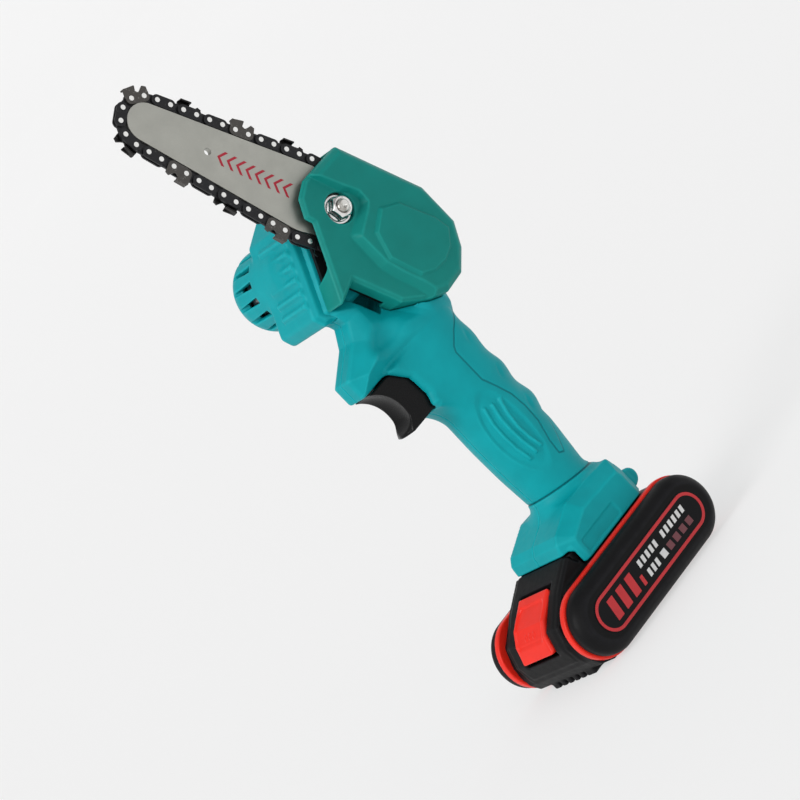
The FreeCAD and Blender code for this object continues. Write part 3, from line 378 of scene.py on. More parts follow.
COVER_EDGE = [(-20, 242), (-43.6, 242), (-62.4, 201), (-62.4, 180), (-55.5, 169.5), (-46, 162.2),
              (-34, 161.2), (-26, 164.5), (-13.2, 173.5), (-11.8, 177), (-2.6, 196.2), (10.8, 192.2),
              (-8.5, 226.2), (-7, 230), (-12, 238)]
BLOCK_EDGE = [(15.6, 195.4), (-5.4, 233.6), (-21, 240.5), (-36, 240.5), (-36, 187), (3, 187.2), (13.2, 189.2)]
NECK_EDGE = [(27.5, 155.8), (27.5, 166.5), (11.5, 176.5), (5.8, 184), (9, 192), (-30, 192), (-44, 168),
             (-39, 155.8)]
NECK_SKIRT = [(12.5, 157), (4, 147), (3.0, 136.6), (5.2, 131.4), (3.4, 128.6), (-6, 124), (-30, 122),
              (-30, 157)]
FOOT_EDGE = [(19, 30), (19, 44.8), (17.6, 50.2), (14.4, 53.4), (-2, 59.2), (-34, 57.5), (-36.2, 49),
             (-36, 30)]
FOOT_PLAN = [(19.5, -18), (19.5, 18), (12.0, 26), (-36.2, 26), (-36.2, -26), (12.0, -26)]
FOOT_MOUTH = [(13.4, 20), (14.4, 36.4), (18.9, 45.2), (24, 45.2), (24, 20)]
FOOT_PANEL = [(-16, 38), (10, 38), (10, 44.6), (-16, 44.6)]
FOOT_LOW, FOOT_HALF = 36.4, 26.0
LUG_EYE, LUG_NEAR, LUG_FAR = (-40.6, 41.5), 9.5, 14.5
NECK_HALF, SKIRT_HALF = 15.0, 11.5
SCREWS = [(-26.5, 66.0), (-11.5, 66.0), (-35.5, 128.0), (20.0, 162.0), (-38.0, 160.5)]
HIDDEN_SCREWS = (SCREWS[2], SCREWS[4])
OPEN_SCREWS = (SCREWS[0], SCREWS[1], SCREWS[3])
SHANK_RADIUS, HEAD_RADIUS, HEAD_LOW, HEAD_HIGH = 1.5, 2.9, -11.3, -9.1
SLOT_FOOT = (-11.8, 177.0)
SLOT_WAY = (0.432, 0.902)             # the way the chip slot runs up the cover's wall, in XZ
SLOT_LOW, SLOT_HIGH = 178.4, 194.8
WELL_OUT, WELL_ALONG, WELL_FLOOR = (-9.0, 3.6), (-0.2, 19.2), -8.0
DENT_MIDDLE, DENT_SIZE = (1.5, 18.0, 167.5), (9.5, 8.5, 6.5)


def smooth_table(heights, values):
    """A table by height, filled in every millimetre and smoothed."""
    fine = np.arange(heights[0] - 20, heights[-1] + 20, 1.0)
    rough = np.interp(fine, heights, values)
    weights = np.hanning(17)
    soft = np.convolve(np.pad(rough, 8, mode="edge"), weights / weights.sum(), mode="valid")
    return fine, soft


GRIP_TABLES = [smooth_table(GRIP_HEIGHTS, v) for v in (GRIP_MIDDLES, GRIP_DEPTHS, GRIP_WIDTHS)]
WAVE_TOP, WAVE_LONG, WAVE_HIGH = 100.0, 19.6, 0.75
VENTS, VENT_START, VENT_LONG = 16, 1.5, 19.0
VENT_HALF, VENT_TAPER = 1.55, 0.045
VENT_FLOOR, VENT_SLOPE = 12.5, 0.36


def grip(x, y, z):
    """The handle: ellipses up along Z, with soft waves for the palm at the back."""
    mid, deep, half = (np.interp(z, *table) for table in GRIP_TABLES)
    u = x - mid
    near = np.hypot(u / deep, y / half)
    slope = np.hypot(u / deep ** 2, y / half ** 2) + 1e-4
    side = near * (near - 1) / slope
    back = step_up(-u, 6.0, 15.0) * step_up(z, 84.0, 96.0) * step_up(-z, -160.0, -150.0)
    wave = WAVE_HIGH * np.cos(2 * math.pi * (z - WAVE_TOP) / WAVE_LONG)
    return meet(side - back * wave, span(z, 40.0, 182.0), 2.0)


def motor_cap(x, y, z):
    """The motor's domed end cap with vents that run out into grooves."""
    u, w = x - MOTOR[0], z - MOTOR[1]
    radius = np.hypot(u, w)
    dome = meet(radius - CAP_RADIUS, span(y, BLOCK_FAR - CAP_DEEP, 0.0), CAP_ROUND)
    share = 2 * math.pi / VENTS
    angle = np.arctan2(w, u)
    turn = angle - (np.floor(angle / share) + 0.5) * share
    aside = np.abs(radius * np.sin(turn))
    reach = BLOCK_FAR - VENT_START - y
    width = VENT_HALF - reach * VENT_TAPER
    floor = VENT_FLOOR + reach * VENT_SLOPE
    slot = meet(meet(aside - width, -reach, 0.3), meet(reach - VENT_LONG, floor - radius, 0.3), 0.3)
    return carve(dome, slot, 0.4)


RIB_HIGH, RIB_GAPS = 1.6, 5
RIBS_LOW, RIBS_TOP = Vector((12.4, 201.7)), Vector((-2.6, 228.8))


def block_ribs(x, y, z):
    """How far the soft ribs rise from the motor block's sloping front."""
    way = (RIBS_TOP - RIBS_LOW).normalized()
    along = (x - RIBS_LOW.x) * way.x + (z - RIBS_LOW.y) * way.y
    out = (x - RIBS_LOW.x) * way.y - (z - RIBS_LOW.y) * way.x
    pitch = (RIBS_TOP - RIBS_LOW).length / RIB_GAPS
    ends = step_up(along, -pitch * 0.6, -pitch * 0.3) * step_up(-along, -pitch * 5.6, -pitch * 5.3)
    across = step_up(y, -20.3, -19.3) * step_up(-y, -3.2, -2.0)
    wave = 0.5 + 0.5 * np.cos(2 * math.pi * along / pitch)
    return RIB_HIGH * wave ** 1.6 * ends * across * step_up(out, -5.0, -2.0)


def motor_block(x, y, z):
    profile = outline(x, z, BLOCK_EDGE, 3.0) - block_ribs(x, y, z)
    return bevelled(profile, span(y, BLOCK_FAR, BLOCK_NEAR), 2.4, 0.6)


def foot(x, y, z):
    """The flared foot that the battery slides under."""
    profile = outline(x, z, FOOT_EDGE, 1.5)
    sides = outline(x, y, FOOT_PLAN, 3.5)
    solid = bevelled(profile, np.abs(y) - FOOT_HALF, 6.5)
    solid = meet(solid, sides, 1.0)
    panel = swell(outline(x, z, FOOT_PANEL, 1.5) + 0.4, 0.8)
    panel = panel * step_up(np.abs(y), 20.0, 22.0)
    solid = solid + 0.6 * panel
    solid = carve(solid, outline(x, z, FOOT_MOUTH), 0.8)
    return meet(solid, FOOT_LOW - z, 0.6)


def lug(x, y, z):
    """The small lug behind the foot."""
    eye = drum(x, z, y, LUG_EYE, 4.6, LUG_NEAR, LUG_FAR, 1.4)
    root = block(x, y, z, (-41, LUG_NEAR, 37.0), (-34, LUG_FAR, 46.0), 1.0)
    return join(eye, root, 1.0)


def nose(x, y, z):
    """The neck above the trigger, with its chamfered nose, and the lip round the trigger."""
    neck = bevelled(outline(x, z, NECK_EDGE, 1.6), np.abs(y) - NECK_HALF, 8.8, 1.0)
    skirt = meet(outline(x, z, NECK_SKIRT, 1.2), np.abs(y) - SKIRT_HALF, 3.0)
    return join(neck, skirt, 2.5)


def beyond_slot(x, z):
    """How far out from the cover's wall, at its chip slot."""
    return (x - SLOT_FOOT[0]) * SLOT_WAY[1] - (z - SLOT_FOOT[1]) * SLOT_WAY[0]


def along_slot(x, z):
    """How far up the cover's wall from the foot of its chip slot."""
    return (x - SLOT_FOOT[0]) * SLOT_WAY[0] + (z - SLOT_FOOT[1]) * SLOT_WAY[1]


def chip_well(x, y, z):
    """The hole that the chips drop through, beside and under the cover's wall."""
    sides = meet(span(beyond_slot(x, z), *WELL_OUT), span(along_slot(x, z), *WELL_ALONG), 0.6)
    return meet(sides, WELL_FLOOR - y, 0.4)


def gully(x, y, z):
    """The hollow in the neck in front of the cover's chip slot."""
    out = beyond_slot(x, z)
    floor = CASE_NEAR - 0.4 + 0.45 * np.maximum(out, 0) + 0.6 * np.maximum(-along_slot(x, z), 0)
    valley = meet(meet((floor - y) / 1.2, z - 200.0, 2.0), -4.0 - out, 1.0)
    u, v, w = ((p - q) / size for p, q, size in zip((x, y, z), DENT_MIDDLE, DENT_SIZE))
    dent = np.hypot(np.hypot(u, w), v) - 1
    return join(valley, 6.5 * dent, 4.0)


def rooms(x, y, z):
    """The housing's inner spaces, cut clear for what moves and sits in them."""
    spaces = [
        block(x, y, z, (-35, -7.8, 129), (-8, 7.8, 154.8)),  # switch
        block(x, y, z, (-11, -7.9, 129.2), (40, 7.9, 155.7), 1.5),  # trigger
        block(x, y, z, (-33, -22.2, 20), (14.6, 22.2, 46.4)),  # battery's runner
        meet(bevelled(z - 45.0, np.abs(y) - 22.5, 1.4), 10.0 - x, 0.3),  # the foot's mouth
        drum(x, z, y, MOTOR, 14.9, -48.8, -4.8),  # motor can
        drum(x, z, y, MOTOR, 17.0, -45.5, -31.5, 3.0),  # air behind the vents
        drum(x, z, y, MOTOR, 8.0, -53.0, -46.0),  # shaft's end
        drum(x, z, y, MOTOR, 6.0, -5.5, 10.0),  # pinion
        drum(x, z, y, SPINDLE, 19.4, -2.0, 4.8),  # output gear
        drum(x, z, y, SPINDLE, 16.0, 4.0, 10.0),  # the way out to it
        drum(x, z, y, plan("idler_gear"), 10.4, -2.0, 10.0),  # idler gear
        drum(x, z, y, SPINDLE, 9.6, -9.8, 0.0),  # far bearing
        drum(x, z, y, STUD, 3.1, -2.1, 8.0),  # bar stud
    ]
    for place in OPEN_SCREWS:
        spaces.append(drum(x, z, y, place, 3.1, -60.0, -9.0))
    nearest = spaces[0]
    for space in spaces[1:]:
        nearest = np.minimum(nearest, space)
    return nearest


SEAM_HIGH, SEAM_LEAN = 65.9, 0.193
PAD_EDGE = [(-60, 160), (-32.6, 151.4), (-25.1, 147.5), (-18.8, 142.6), (-17.4, 140.2), (-17.2, 123.5),
            (-20.4, 116.6), (-23.6, 108.6), (-24.7, 100.7), (-24.4, 91.8), (-21.3, 82.0), (-20.6, 74.9),
            (-23.4, 73.3), (-28, 81.5), (-33, 92), (-60, 100)]
GRIP_BEADS = [
    [(-9.1, 14.0, 113.0), (-7.5, 13.1, 105.5), (-7.2, 12.9, 97.9), (-7.7, 13.1, 90), (-8.9, 13.7, 82.8)],
    [(-12.8, 15.8, 111.9), (-11.4, 15.2, 105), (-11.1, 15.1, 98.4), (-11.6, 15.2, 91), (-12.8, 15.5, 83.2)],
    [(-17.1, 16.8, 111.1), (-15.3, 16.4, 104), (-14.5, 16.3, 96.7), (-15.1, 16.3, 90), (-16.4, 16.4, 83.9)],
]
OVAL_MIDDLE, OVAL_SIZE = (-12.0, 97.5), (8.6, 24.5)
LEAVES = [(-28.6, 141.0), (-28.2, 120.0), (-28.2, 99.6)]


def collar_mark(x, y, z):
    """Signed distance to the seam round the handle's foot, as if far off away from the handle."""
    aside = np.maximum(np.hypot(x + 18.9, y) - 24.0, 0)
    return (z - SEAM_HIGH - SEAM_LEAN * x) * math.cos(math.atan(SEAM_LEAN)) + aside


def pad_mark(x, y, z):
    """Signed distance to the edge of the soft pad at the back of the handle."""
    return outline(x, z, PAD_EDGE)


def grip_relief(x, y, z):
    """How far the palm pads, the shallow ovals and their curved beads stand out of the handle."""
    side = np.abs(y)
    oval = np.hypot((x - OVAL_MIDDLE[0]) / OVAL_SIZE[0], (z - OVAL_MIDDLE[1]) / OVAL_SIZE[1])
    relief = -1.0 * step_up(1.0 - oval, 0.0, 0.22) * step_up(side, 6.0, 9.0)
    for line in GRIP_BEADS:
        relief = relief + 1.2 * swell(string(x, side, z, line), 1.7)
    relief = relief + 0.35 * step_up(-outline(x, z, PAD_EDGE), -0.5, 0.9)
    for place in LEAVES:
        leaf = np.hypot((x - place[0] + 0.35 * (z - place[1])) / 2.2, (z - place[1]) / 5.0)
        relief = relief - 0.7 * swell(leaf, 1.0) * step_up(side, 4.0, 8.0)
    return relief


def housing(x, y, z):
    """The whole housing, before it is parted. The motor block goes on after the chip well is cut, so it
    closes the upper end of the well again."""
    handle = grip(x, y, z) - grip_relief(x, y, z)
    collar = z - SEAM_HIGH - SEAM_LEAN * x
    handle = handle + 0.4 * swell(np.abs(collar), 0.8) - 0.4 * step_up(-collar, 0.0, 0.8)
    solid = join(handle, foot(x, y, z), 6.0)
    solid = join(solid, lug(x, y, z), 0.8)
    solid = join(solid, nose(x, y, z), 9.0)
    solid = carve(solid, gully(x, y, z), 3.5)
    case = meet(outline(x, z, COVER_EDGE, 1.0), span(y, CASE_FAR, CASE_NEAR), 1.0)
    case = join(case, drum(x, z, y, SPINDLE, 21.0, -4.5, 6.6, 1.2), 1.2)
    solid = join(solid, case, 3.0)
    cover_room = meet(outline(x, z, shrunk(COVER_EDGE, -0.3)), CASE_NEAR - y, 0.1)
    solid = carve(carve(solid, cover_room, 0.2), chip_well(x, y, z), 0.3)
    engine = join(motor_block(x, y, z), motor_cap(x, y, z), 1.2)
    solid = join(solid, engine, 1.5)
    return carve(solid, rooms(x, y, z), 0.4)


PARTING_GAP = 0.06


def block_zone(x, y, z):
    """The room that belongs to the motor block, ribs and all."""
    ribbed = outline(x, z, BLOCK_EDGE) - RIB_HIGH * step_up(x + 0.6 * (z - 200), 0.0, 3.0)
    return np.maximum(ribbed, y - BLOCK_NEAR - 0.05)


def housing_left(x, y, z):
    body = np.maximum(housing(x, y, z), -block_zone(x, y, z))
    return meet(body, PARTING_GAP - y, 0.5)


def housing_right(x, y, z):
    body = housing(x, y, z)
    beyond = np.minimum(y + PARTING_GAP, block_zone(x, y, z) + 0.12)
    return meet(body, beyond, 0.5)


def screws(x, y, z):
    """The housing's screws, with domed heads and crossed recesses; two stay wholly inside."""
    nearest = np.minimum(*(drum(x, z, y, place, SHANK_RADIUS, -4.0, 4.0) for place in HIDDEN_SCREWS))
    for place in OPEN_SCREWS:
        head = drum(x, z, y, place, HEAD_RADIUS, HEAD_LOW, HEAD_HIGH, 0.9)
        across, up = np.abs(x - place[0]), np.abs(z - place[1])
        recess = np.minimum(np.maximum(across - 0.45, up - 1.7), np.maximum(up - 0.45, across - 1.7))
        head = carve(head, np.maximum(recess, y + 10.3), 0.1)
        shank = drum(x, z, y, place, SHANK_RADIUS, -9.5, -4.0)
        nearest = np.minimum(nearest, join(head, shank, 0.2))
    return nearest


# ---------------- sprocket cover

COVER_FACE, COVER_RAISED, OCTAGON_FACE, PAD_FLOOR = 21.0, 25.0, 26.4, 17.7
RAISED_TOE = [(-22.6, 246), (-23.7, 240.1), (-29.2, 227), (-32.2, 223.7), (-33.6, 218.5), (-31.6, 216.2),
              (-17.9, 210.6), (-16.9, 209.4), (-16.7, 190.8), (-19.2, 182.6), (-23.5, 172.5), (-27, 158),
              (-70, 158), (-70, 246)]
RAISED_TOP = [(-22.8, 246), (-23.9, 241.0), (-30.2, 229.6), (-34.9, 221.0), (-34.6, 215.0), (-31.8, 213.0),
              (-19.3, 207.0), (-19.5, 190.8), (-22.6, 182.0), (-27.5, 171.0), (-31, 158), (-70, 158),
              (-70, 246)]
OCTAGON = [(-45.3, 204.8), (-53.9, 188.5), (-55.7, 180.4), (-49.4, 174.2), (-42, 171.6), (-34.3, 172),
           (-27, 175.4), (-20.6, 190.9), (-24.9, 203.6), (-35.6, 209.6)]
FRONT_OPEN = [(-20, 260), (-20, 228), (-9.5, 224.5), (2.6, 204), (30, 200), (30, 260)]
MOUTH_CORNERS = ((40, -25.9), (40, 27.2), (99.5, 27.2), (92, -25.9))


def cover_rooms(x, y, z):
    """The cover's inside: a flat room, a deeper one over the sprocket, the bar's mouth, and the chip slot."""
    inner = outline(x, z, shrunk(COVER_EDGE, 1.3))
    room = meet(inner, y - 19.0, 1.5)
    room = join(room, drum(x, z, y, SPINDLE, 13.0, 10.0, 23.0), 0.5)
    boss = np.hypot(x - STUD[0], z - STUD[1]) - 9.5
    room = carve(room, meet(boss, 15.7 - y, 0.2), 0.5)
    rim = 4.5 + 14.0 * step_up(z, 202.0, 208.5)
    opening = meet(outline(x, z, FRONT_OPEN), y - np.minimum(rim, 18.6), 1.0)
    mouth = meet(outline(x, z, [on_bar(a, b) for a, b in MOUTH_CORNERS]), y - 18.8, 0.5)
    slot = meet(meet(np.abs(beyond_slot(x, z)) - 4.0, span(z, SLOT_LOW, SLOT_HIGH), 0.4), y - 12.2, 0.4)
    return np.minimum(np.minimum(room, opening), np.minimum(mouth, slot))


def cover(x, y, z):
    edge = outline(x, z, COVER_EDGE, 0.8)
    base = meet(bevelled(edge, y - COVER_FACE, 1.6, 0.3), CASE_NEAR + 0.12 - y, 0.3)
    up = np.clip((y - COVER_FACE) / (COVER_RAISED - COVER_FACE), -0.3, 1.3)
    slope = outline(x, z, RAISED_TOE, 1.0) * (1 - up) + outline(x, z, RAISED_TOP, 1.0) * up
    raised = bevelled(edge, y - COVER_RAISED, 3.0, 0.8)
    raised = meet(meet(raised, slope, 0.3), 18.0 - y, 0.2)
    solid = join(base, raised, 0.35)
    plateau = bevelled(outline(x, z, OCTAGON, 0.8), y - OCTAGON_FACE, 1.1)
    plateau = meet(meet(plateau, edge + 2.0, 0.5), 20.0 - y, 0.1)
    solid = join(solid, plateau, 0.3)
    solid = carve(solid, cover_rooms(x, y, z), 0.4)
    seat = drum(x, z, y, STUD, 7.4, PAD_FLOOR, 40.0, 0.2)
    return carve(carve(solid, seat, 0.4), drum(x, z, y, STUD, 3.3, 0.0, 40.0), 0.2)


# ---------------- bar nut and stud

NUT_CORNER, NUT_LEAN, FLANGE_RADIUS = 5.5, 0.35, 5.9
ACROSS_FLATS = 0.866                  # of a hexagon, as a share of its corners' radius


def clamp_nut(x, y, z):
    """A flanged hexagon nut with a chamfered top, round the bar's stud."""
    low, high = depths("cover_nut")
    u, w = x - STUD[0], z - STUD[1]
    radius = np.hypot(u, w)
    flats = np.full_like(radius, -NUT_CORNER)
    for index in range(3):
        angle = NUT_LEAN + math.pi / 6 + index * math.pi / 3
        aside = np.abs(u * math.cos(angle) + w * math.sin(angle))
        flats = np.maximum(flats, aside - NUT_CORNER * ACROSS_FLATS)
    body = meet(flats, span(y, low, high), 0.3)
    body = meet(body, 0.6 * (radius - 4.2) + 0.8 * (y - high), 0.2)
    flange = meet(radius - FLANGE_RADIUS, span(y, low, low + 1.0) + 0.16 * (radius - 4.0), 0.4)
    bore = np.minimum(radius - 3.02, 0.7 * (radius - 3.6) - 0.7 * (y - high))
    return carve(join(body, flange, 0.5), bore, 0.1)


def stud(x, y, z):
    """The stud that the nut screws onto, with a rounded end and a centre mark."""
    low, high = depths("bar_stud")
    radius = np.hypot(x - STUD[0], z - STUD[1])
    rod = meet(radius - 3.0, span(y, low, high), 1.1)
    mark = np.hypot(radius, y - high - 0.7) - 1.5
    return carve(rod, mark, 0.3)


# ---------------- trigger

TRIGGER_FOOT, TRIGGER_TOP, TRIGGER_HALF = 129.6, 155.3, 7.5
TRIGGER_EDGE = [(27.4, 157.2), (27.4, 131.4), (22.0, TRIGGER_FOOT), (-3.6, TRIGGER_FOOT),
                (-3.6, TRIGGER_TOP), (24, TRIGGER_TOP)]
FINGER, FINGER_RADIUS = (32.3, 140.6), 16.6
SPRING_PLACE = (0, 142)


def trigger(x, y, z):
    """The trigger: a hollow for the finger, a tongue under it, and a pocket for the spring."""
    blade = outline(x, z, TRIGGER_EDGE, 1.2)
    finger = FINGER_RADIUS - np.hypot(x - FINGER[0], z - FINGER[1])
    scoop = 1.2 * (1 - (y / TRIGGER_HALF) ** 2)
    blade = meet(blade, finger + scoop - 0.5, 0.7)
    tongue = 7.4 * (np.hypot((x - 13.4) / 9.6, y / 7.4) - 1)
    tongue = meet(meet(tongue, TRIGGER_FOOT - z, 0.9), z - 131.4 - 0.3 * (22.0 - x), 0.9)
    blade = join(blade, tongue, 4.0)
    blade = meet(blade, np.abs(y) - TRIGGER_HALF, 1.0)
    blade = meet(meet(blade, z - TRIGGER_TOP, 0.3), TRIGGER_FOOT - z, 0.8)
    pocket = drum(y, z, x, SPRING_PLACE, 4.6, -6.0, 8.0)
    stem = drum(y, z, x, SPRING_PLACE, 2.4, -16.5, 9.0)
    return np.minimum(carve(blade, pocket, 0.3), stem)


# ---------------- battery

ROUND_BACK = [(-34.5, 34.8), (-42.9, 32.5), (-49.0, 26.4), (-51.0, 18), (-49.0, 9.6), (-42.9, 3.5),
              (-34.5, 0)]
CORE_EDGE = [(36, 0), (46.4, 4.6), (50.5, 11), (51.8, 19), (48.6, 28.2), (34.8, 37.3), (18.8, 44.6),
             (16.2, 39.4), (-31.5, 39.4)] + ROUND_BACK
SIDE_EDGE = [(40, 0), (46.8, 3.2), (49.6, 7.8), (50.4, 13), (49.8, 19), (45.4, 28), (31, 36)] + ROUND_BACK
POCKET_EDGE = [(27.8, 34.4), (28.9, 45.9), (70, 45.9), (70, 17.2), (47.2, 17.2), (44.2, 24.2), (39.6, 28.6)]
BUTTON_EDGE = [(31.4, 40.2), (45.2, 33.4), (50.4, 28), (53.4, 19.6), (50.2, 18.9), (47.2, 25.8), (42.2, 30.4),
               (30.5, 36.4)]
PACK_LONG, PACK_HIGH = 105.0, 36.0
RING_LOW, RING_TOP, CAP_FACE = 26.4, 29.7, 38.9
CORE_HALF, SHIELD_HALF, BODY_HALF, POCKET_HALF = 18.4, 22.0, 26.3, 13.4
GROOVE_PITCH, DOT_PITCH = 5.2, 3.2


def stadium(u, v, long, high, centre):
    """Distance to a bar with round ends."""
    half = high / 2
    return np.hypot(np.maximum(np.abs(u) - (long / 2 - half), 0), v - centre) - half


def battery_core(x, y, z):
    """The battery's black body, with its runner, the button's pocket and the hole for the contacts."""
    side = np.abs(y)
    middle_part = meet(outline(x, z, CORE_EDGE, 0.6), side - CORE_HALF, 0.5)
    shield = bevelled(outline(x, z, CORE_EDGE, 1.2), side - SHIELD_HALF, 1.0)
    shield = meet(shield, 14.8 - x, 0.3)
    body = meet(outline(x, z, SIDE_EDGE, 1.5), side - BODY_HALF, 0.3)
    solid = join(join(middle_part, body, 0.5), shield, 1.5)
    runner = block(x, y, z, (-31, -20.8, 39), (17, 20.8, 43.9), 0.5)
    toe = block(x, y, z, (34, -17, 0.0), (46.8, 17, 6.0), 0.8)
    grooves = np.abs((y + 1.1) - GROOVE_PITCH * np.round((y + 1.1) / GROOVE_PITCH)) - 1.2
    toe = carve(toe, np.maximum(np.maximum(grooves, side - 13.0), np.maximum(44.4 - x, z - 4.6)), 0.4)
    solid = join(np.minimum(solid, runner), toe, 0.8)
    pocket = meet(outline(x, z, POCKET_EDGE), side - POCKET_HALF - 0.02 * np.abs(z - 28), 1.0)
    contacts = block(x, y, z, (-32, -13, 32), (-12, 13, 50))
    return np.maximum(carve(carve(solid, pocket, 0.7), contacts, 0.3), -z)


def battery_ring(x, y, z):
    side = np.abs(y)
    band = stadium(x, z, PACK_LONG, PACK_HIGH, PACK_HIGH / 2)
    return meet(band, span(side, RING_LOW, RING_TOP), 0.5)


def battery_cap(x, y, z):
    """The end cap: a low dome with a broad slope round a flat face."""
    out = np.maximum(np.abs(y) - 33.0, 0)
    band = stadium(x, z, PACK_LONG - 1.8, PACK_HIGH - 1.8, PACK_HIGH / 2)
    slope = band + 0.126 * out ** 2
    return meet(slope, span(np.abs(y), RING_TOP + 0.02, CAP_FACE), 1.2)


def release_button(x, y, z):
    """The red button: a raised rim round a hollow, with three dots."""
    half = 12.6 + 0.008 * (z - 28) ** 2
    pad = meet(outline(x, z, BUTTON_EDGE, 0.5), np.abs(y) - np.minimum(half, 13.0), 1.8)
    inside = meet(np.abs(y) - 11.2, span(z, 25.6, 38.4), 3.0)
    dots = np.hypot(y - DOT_PITCH * np.clip(np.round(y / DOT_PITCH), -1, 1), z - 29.5) - 0.8
    return pad + 0.9 * step_up(-inside, -0.2, 1.6) - 0.3 * swell(np.abs(dots), 0.5)


# ---------------- printed marks

INK_THICK = 0.05


def prism_mesh(name, polygons, near, far):
    """Thin plates: each polygon, given in XZ millimetres, extruded along Y."""
    vertices = []
    faces = []
    for corners in polygons:
        start, count = len(vertices), len(corners)
        vertices += [(x * MM, near * MM, z * MM) for x, z in corners]
        vertices += [(x * MM, far * MM, z * MM) for x, z in corners]
        faces.append(tuple(range(start, start + count)))
        faces.append(tuple(range(start + 2 * count - 1, start + count - 1, -1)))
        for index in range(count):
            after = (index + 1) % count
            faces.append((start + after, start + index, start + count + index, start + count + after))
    return tidy_mesh(name, vertices, faces)


def ring_mesh(name, outer, inner, near, far):
    """A thin closed band between two outlines with the same number of points."""
    count = len(outer)
    vertices = [(x * MM, y * MM, z * MM) for y in (near, far) for edge in (outer, inner) for x, z in edge]
    faces = []
    for index in range(count):
        after = (index + 1) % count
        near_out, near_in, far_out, far_in = (level * count for level in range(4))
        loops = ((near_out, near_in), (near_in, far_in), (far_in, far_out), (far_out, near_out))
        faces += [(a + index, a + after, b + after, b + index) for a, b in loops]
    return tidy_mesh(name, vertices, faces)


def tidy_mesh(name, vertices, faces):
    """A mesh with every face turned outward."""
    mesh = bpy.data.meshes.new(name)
    mesh.from_pydata(vertices, [], faces)
    shape = bmesh.new()
    shape.from_mesh(mesh)
    bmesh.ops.recalc_face_normals(shape, faces=shape.faces)
    shape.to_mesh(mesh)
    shape.free()
    return mesh


def stadium_points(long, high, centre, steps=28):
    half = high / 2
    points = []
    for end, start in ((1, -90), (-1, 90)):
        for index in range(steps + 1):
            angle = math.radians(start + 180 * index / steps)
            points.append((end * (long / 2 - half) + half * math.cos(angle), centre + half * math.sin(angle)))
    return points


LABEL_MIDDLE = 17.6
LABEL_OUTER, LABEL_INNER = (83.6, 17.6), (80.6, 14.6)
CHEVRONS, CHEVRON_START, CHEVRON_PITCH = 8, 35.0, 4.7


def slanted(start, low, wide, high, lean=0.18):
    """A leaning stroke, by its start along the label and its foot above the label's middle."""
    shift, top = lean * high, low + high
    return [(start, low), (start + wide, low), (start + wide + shift, top), (start + shift, top)]


def label_strokes():
    """Plain strokes in the places of a maker's lettering, by ink."""
    bold = [slanted(-33.5 + 7.4 * i, -4.9, 4.4, 9.8) for i in range(3)] + [slanted(-11.2, -4.9, 2.0, 4.6)]
    upper = [slanted(-6.6 + 3.3 * i, 1.6, 2.0, 3.4) for i in range(12) if i != 5]
    lower = [slanted(-5.6 + 3.3 * i, -4.6, 2.0, 3.6) for i in range(3)] + [slanted(6.2, -4.6, 3.6, 3.6, 0.0)]
    squares = [slanted(11.8 + 5.4 * i, -4.6, 3.6, 3.6, 0.0) for i in range(4)]
    return {"ink_red": bold, "ink_white": upper + lower, "ink_dim": squares}


def make_label(side, sign, paint):
    """The outlined label on one end cap."""
    low, high = depths("battery_label_" + side)
    face = high if sign > 0 else low
    near, far = sorted((face, face + sign * INK_THICK))
    edge = ring_mesh("label_edge_" + side, stadium_points(*LABEL_OUTER, LABEL_MIDDLE),
                     stadium_points(*LABEL_INNER, LABEL_MIDDLE), near, far)
    add_piece("label_edge_" + side, edge, paint["ink_red"], "battery")
    for ink, strokes in label_strokes().items():
        places = [[(-sign * u, LABEL_MIDDLE + v) for u, v in stroke] for stroke in strokes]
        name = "label_%s_%s" % (ink, side)
        add_piece(name, prism_mesh(name, places, near, far), paint[ink], "battery")


def make_bar_marks(paint):
    """A row of chevrons down both faces of the guide bar."""
    low, high = depths("guide_bar")
    shapes = []
    for index in range(CHEVRONS):
        s = CHEVRON_START + CHEVRON_PITCH * index
        chevron = ((s, 0), (s + 3.0, 3.5), (s + 4.5, 3.5), (s + 1.5, 0), (s + 4.5, -3.5), (s + 3.0, -3.5))
        shapes.append([on_bar(a, b) for a, b in chevron])
    for side, near, far in (("left", high, high + INK_THICK), ("right", low - INK_THICK, low)):
        name = "bar_chevrons_" + side
        add_piece(name, prism_mesh(name, shapes, near, far), paint["ink_crimson"], "housing")


# ---------------- materials

def add_node(tree, kind, inputs=None, **settings):
    """A shader node; each input is given a plain value or another node's output."""
    node = tree.nodes.new(kind)
    for key, value in settings.items():
        setattr(node, key, value)
    for key, value in (inputs or {}).items():
        if isinstance(value, bpy.types.NodeSocket):
            tree.links.new(value, node.inputs[key])
        else:
            node.inputs[key].default_value = value
    return node


